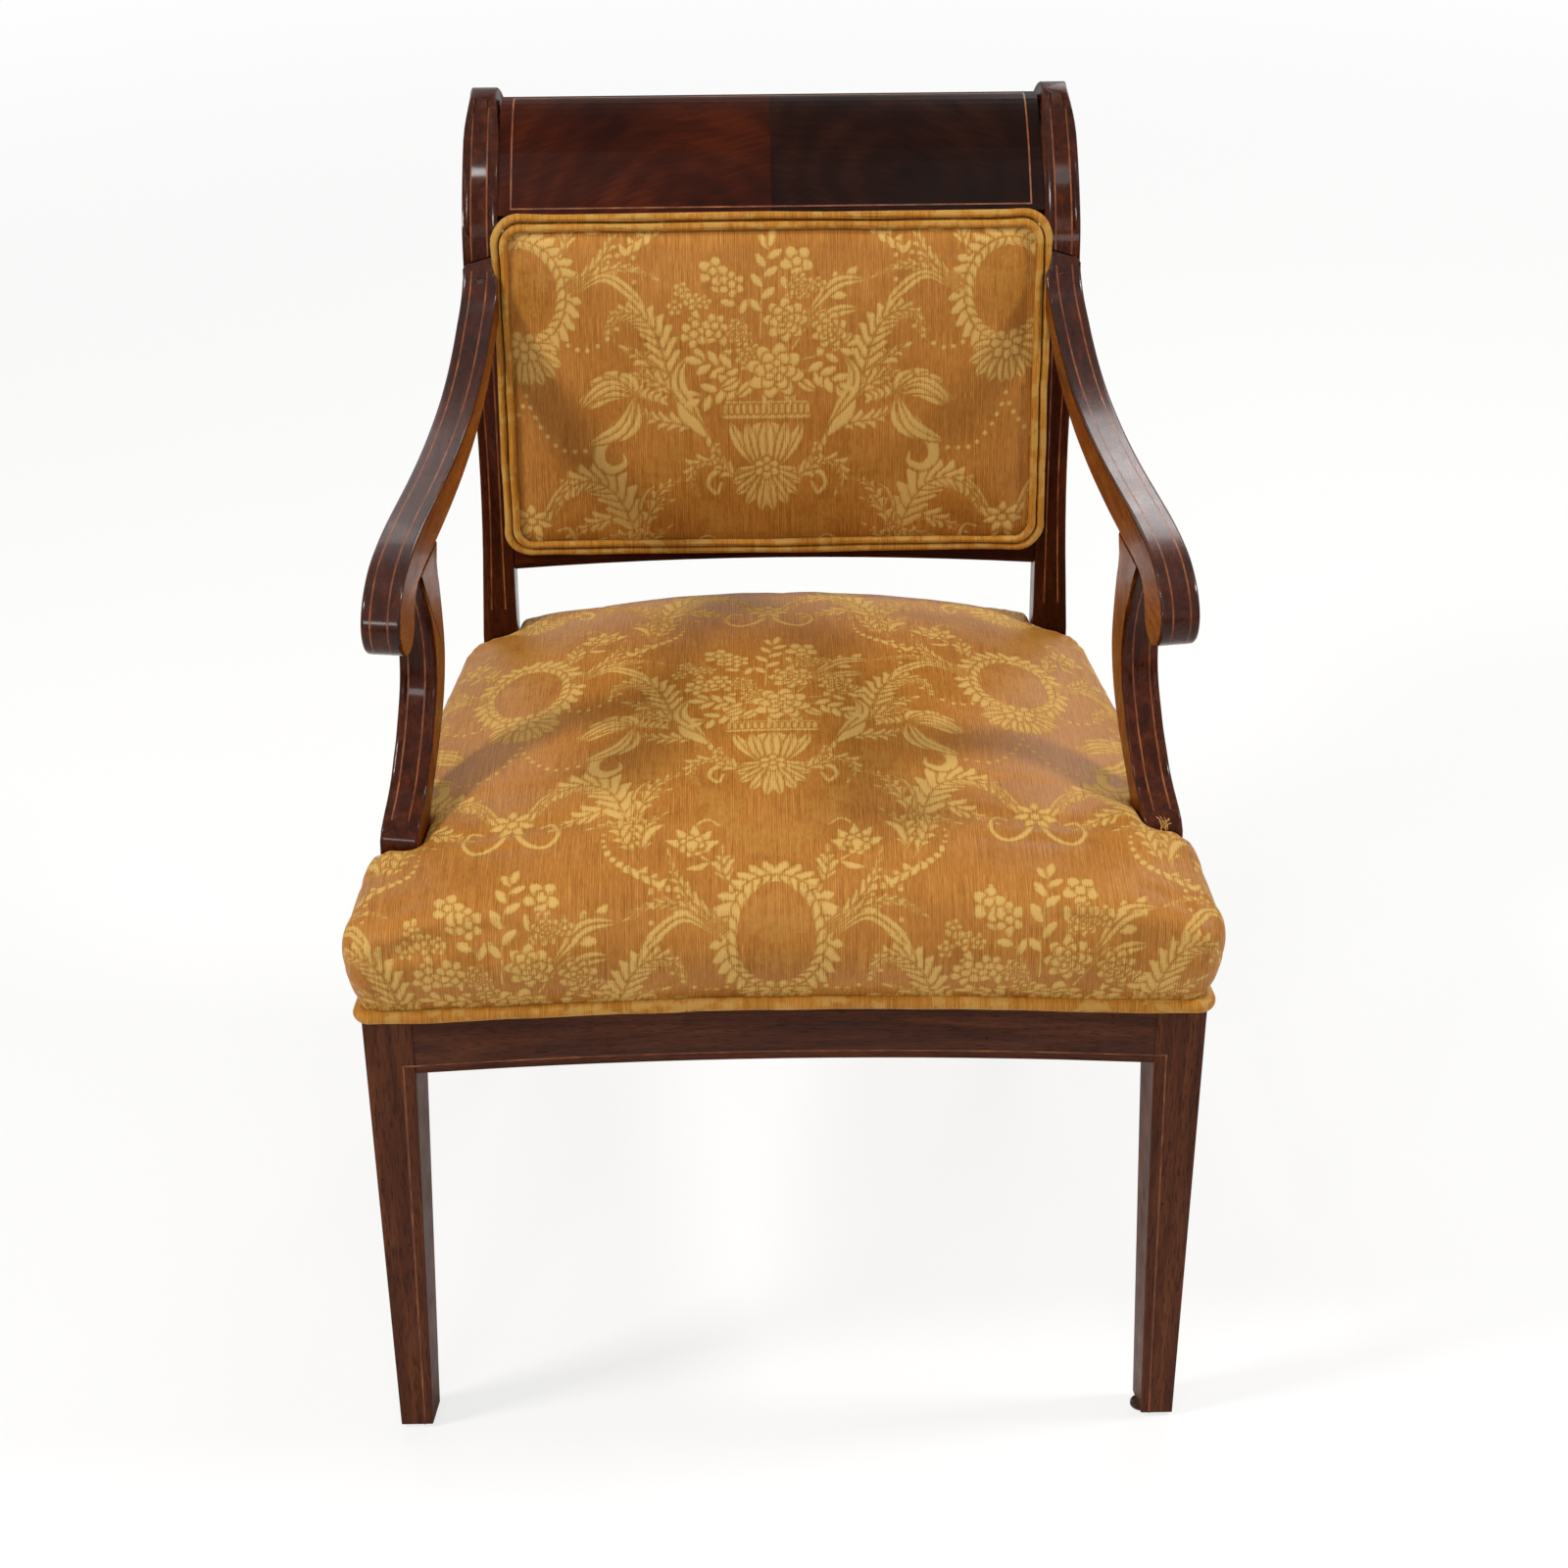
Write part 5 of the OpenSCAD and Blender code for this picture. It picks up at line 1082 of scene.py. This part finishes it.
def jute(name, pitch, dark, light, striped=False):
    """Dry matt jute: thick and thin yarns, a pitch apart in mm, cross in small
    humps; a strap carries a dark red-brown stripe near each edge."""
    material, t = new_material(name)
    place = add(t, "TexCoord", out="Object")
    yarns = [add(t, "TexWave", Vector=place, Scale=314 / pitch, Distortion=1.2, Detail=2.0,
                 Detail_Scale=3.0, wave_type="BANDS", bands_direction=way, out="Fac")
             for way in "XY"]
    humps = add(t, "Math", *yarns, operation="MULTIPLY")
    uneven = add(t, "TexNoise", Vector=place, Scale=90.0, Detail=4.0, Roughness=0.6)
    tone = add(t, "Math", humps, 0.7, uneven, operation="MULTIPLY_ADD")
    colour = add(t, "ValToRGB", tone, stops=[(0.4, dark), (1.0, light)])
    if striped:
        # each stripe is 3.4 mm wide and lies 18 mm from the middle of the strap
        off_middle = add(t, "Attribute", attribute_name="across_strap", out="Fac")
        off_middle = add(t, "Math", off_middle, operation="ABSOLUTE")
        stripe = add(t, "Math", off_middle, 18.0, 1.7, operation="COMPARE")
        stripe = add(t, "Math", stripe, 0.8, operation="MULTIPLY")
        colour = add(t, "Mix", stripe, i6=colour, i7=linear("#4a2018"), data_type="RGBA", out=2)
    bump = add(t, "Bump", Strength=0.8, Distance=0.0005, Height=tone)
    shader = add(t, "BsdfPrincipled", colour, Normal=bump, Roughness=0.95, Specular_IOR_Level=0.2)
    add(t, "OutputMaterial", shader)
    return material


jute_webbing = jute("jute_webbing", 2.4, "#6a4e2c", "#c2a26c", True)
hessian_cloth = jute("brown_hessian", 1.8, "#5d4526", "#b08c55")


def laced(node, name, axis, own, others, lift):
    """The straps of one node, which run along axis: cut finely along their
    length, and lifted where they ride over (or under) a crossing strap."""
    strips = bmesh.new()
    strips.from_mesh(nodes[node].data)
    bmesh.ops.remove_doubles(strips, verts=strips.verts, dist=same_place)
    way = Vector([1.0 if k == axis else 0.0 for k in range(3)])
    for k in range(-280, 281, 7):
        bmesh.ops.bisect_plane(strips, geom=strips.verts[:] + strips.edges[:] + strips.faces[:],
                               plane_co=way * (k / 1000), plane_no=way)
    width = strips.verts.layers.float.new("across_strap")
    for v in strips.verts:
        i = int(np.argmin(np.abs(own - v.co[1 - axis] * 1000)))
        v[width] = v.co[1 - axis] * 1000 - own[i]
        for j, middle in enumerate(others):
            if (i + j) % 2:
                k = min(1, max(0, (42 - abs(v.co[axis] * 1000 - middle)) / 16))
                v.co.z += lift * k * k * (3 - 2 * k) / 1000
    mesh = bpy.data.meshes.new(name)
    strips.to_mesh(mesh)
    straps = put(name, mesh)
    dress(straps, jute_webbing)
    only(straps)
    bpy.ops.object.shade_smooth_by_angle(angle=math.radians(40))
    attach(straps, "root")
    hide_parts(node)


def strap_middles(node, axis):
    edges = np.unique(np.round(vectors(nodes[node].data.vertices)[:, axis] * 1000, 1))
    return edges.reshape(-1, 2).mean(1)


rows, columns = strap_middles("seat_webbing_across", 1), strap_middles("seat_webbing_along", 0)
laced("seat_webbing_across", "seat_webbing_rows", 0, rows, columns, 1.6)
laced("seat_webbing_along", "seat_webbing_columns", 1, columns, rows, -1.6)
back_columns = strap_middles("back_webbing_along", 0)
laced("back_webbing_along", "back_webbing_columns", 2, back_columns, [], 0)
finish_node("back_webbing_across", jute_webbing)

seat_frame = ["side_rail_left", "side_rail_right", "front_rail", "rear_rail"]
for node, around in (("seat_hessian", seat_frame), ("back_hessian", back_frame)):
    sheet = put(node + "_sheet", nodes[node].data.copy())
    dress(sheet, hessian_cloth)
    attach(sheet, "root")
    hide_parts(node)

horsehair, t = new_material("curled_horsehair")
place = add(t, "TexCoord", out="Object")
curls = add(t, "TexNoise", Vector=place, Scale=320.0, Detail=5.0, Roughness=0.7, Distortion=2.5)
tangle = add(t, "Bump", Strength=1.0, Distance=0.0015, Height=curls)
strands = add(t, "ValToRGB", curls, stops=[(0.35, "#15100c"), (0.6, "#4a3727"), (0.75, "#7a6148")])
add(t, "OutputMaterial", add(t, "BsdfPrincipled", strands, Normal=tangle, Roughness=0.7))
finish_node("seat_stuffing", horsehair)


# ---------------------------------------------
# Studio: a white paper sweep, large soft lamps above on both sides, and the
# camera high in front of the chair, as a dealer would take it.
# ---------------------------------------------

bpy.ops.mesh.primitive_plane_add(size=14.0, location=(0, 0, 0))
floor = bpy.context.object
floor.name = "studio_floor"
paper, t = new_material("white_studio_paper")
shader = add(t, "BsdfPrincipled", linear("#f4f2ef"), Roughness=0.9)
pure_white = (1, 1, 1, 1)
glow = add(t, "Emission", pure_white, 1.0)
# the paper fades into the white background between 1 and 3.5 m from the chair
place = add(t, "TexCoord", out="Object")
from_chair = add(t, "VectorMath", place, operation="LENGTH", out="Value")
fade = add(t, "MapRange", from_chair, 1.0, 3.5, 0.75, 1.0, interpolation_type="SMOOTHSTEP")
by_camera = add(t, "LightPath", out="Is Camera Ray")
part_white = add(t, "Math", by_camera, fade, operation="MULTIPLY")
add(t, "OutputMaterial", add(t, "MixShader", part_white, shader, glow))
floor.data.materials.append(paper)

world = bpy.data.worlds.new("studio_air")
bpy.context.scene.world = world
world.use_nodes = True
t = world.node_tree
t.nodes.clear()
soft = add(t, "Background", pure_white, 0.18)
bright = add(t, "Background", pure_white, 1.0)
# the camera, gloss and glass see the white background; the object is lit by the soft one
seen = add(t, "LightPath", out="Is Camera Ray")
rays = seen.node.outputs
for kind in ("Is Glossy Ray", "Is Transmission Ray"):
    seen = add(t, "Math", seen, rays[kind], operation="MAXIMUM")
add(t, "OutputWorld", add(t, "MixShader", seen, soft, bright))


def softbox(name, place, target, size, watts):
    lamp = bpy.data.lights.new(name, "AREA")
    lamp.energy = watts
    lamp.size = size
    ob = put(name, lamp)
    ob.location = place
    ob.rotation_euler = (Vector(target) - Vector(place)).to_track_quat("-Z", "Y").to_euler()


softbox("key_left", (-2.1, -0.9, 2.5), (0, 0, 0.5), 0.45, 57)
softbox("key_right", (2.3, -0.1, 2.4), (0, 0, 0.5), 0.4, 51)
softbox("fill_front", (0.0, -2.4, 2.6), (0, 0, 0.5), 1.5, 14)
softbox("low_front", (0.5, -3.0, 1.25), (0.1, 0.2, 0.75), 0.5, 7)
# these make the milky sheen on the arms and the gloss on the crest and the left post
softbox("back_right", (0.8, 1.95, 1.75), (0.25, 0, 0.68), 0.8, 13)
softbox("back_left", (-0.8, 1.95, 1.75), (-0.25, 0, 0.68), 0.6, 3)
softbox("front_left", (-0.95, -2.1, 1.2), (-0.26, -0.12, 0.55), 0.3, 5.5)
softbox("top_right", (0.42, -0.2, 2.75), (0.2, 0.2, 0.78), 0.35, 3.5)
softbox("top_left", (-0.4, 0.0, 2.8), (-0.22, 0.2, 0.8), 0.12, 4)

lens = bpy.data.cameras.new("dealer_view")
camera = put("dealer_view", lens)
# fitted to the photograph: angles in radians, lengths in metres
elevation, azimuth, roll, distance = 0.5824, -0.0141, -0.0058, 2.0396
aim = Vector((0.0002, -0.297297, 0.5777))
level = math.cos(elevation)
backwards = Vector((math.sin(azimuth) * level, -math.cos(azimuth) * level, math.sin(elevation)))
right = (-backwards).cross(Vector((0, 0, 1))).normalized()
up = right.cross(-backwards).normalized()
c, s = math.cos(roll), math.sin(roll)
turn = Matrix((c * right + s * up, c * up - s * right, backwards)).transposed().to_4x4()
camera.matrix_world = Matrix.Translation(aim + distance * backwards) @ turn
lens.sensor_width = 36.0
lens.sensor_fit = "HORIZONTAL"
# the focal length is 3178.4 pixels and the frame 1600 pixels wide
lens.lens = lens.sensor_width * 3178.4 / 1600
lens.clip_start = 0.05
bpy.context.scene.camera = camera
bpy.context.scene.view_settings.view_transform = "Standard"
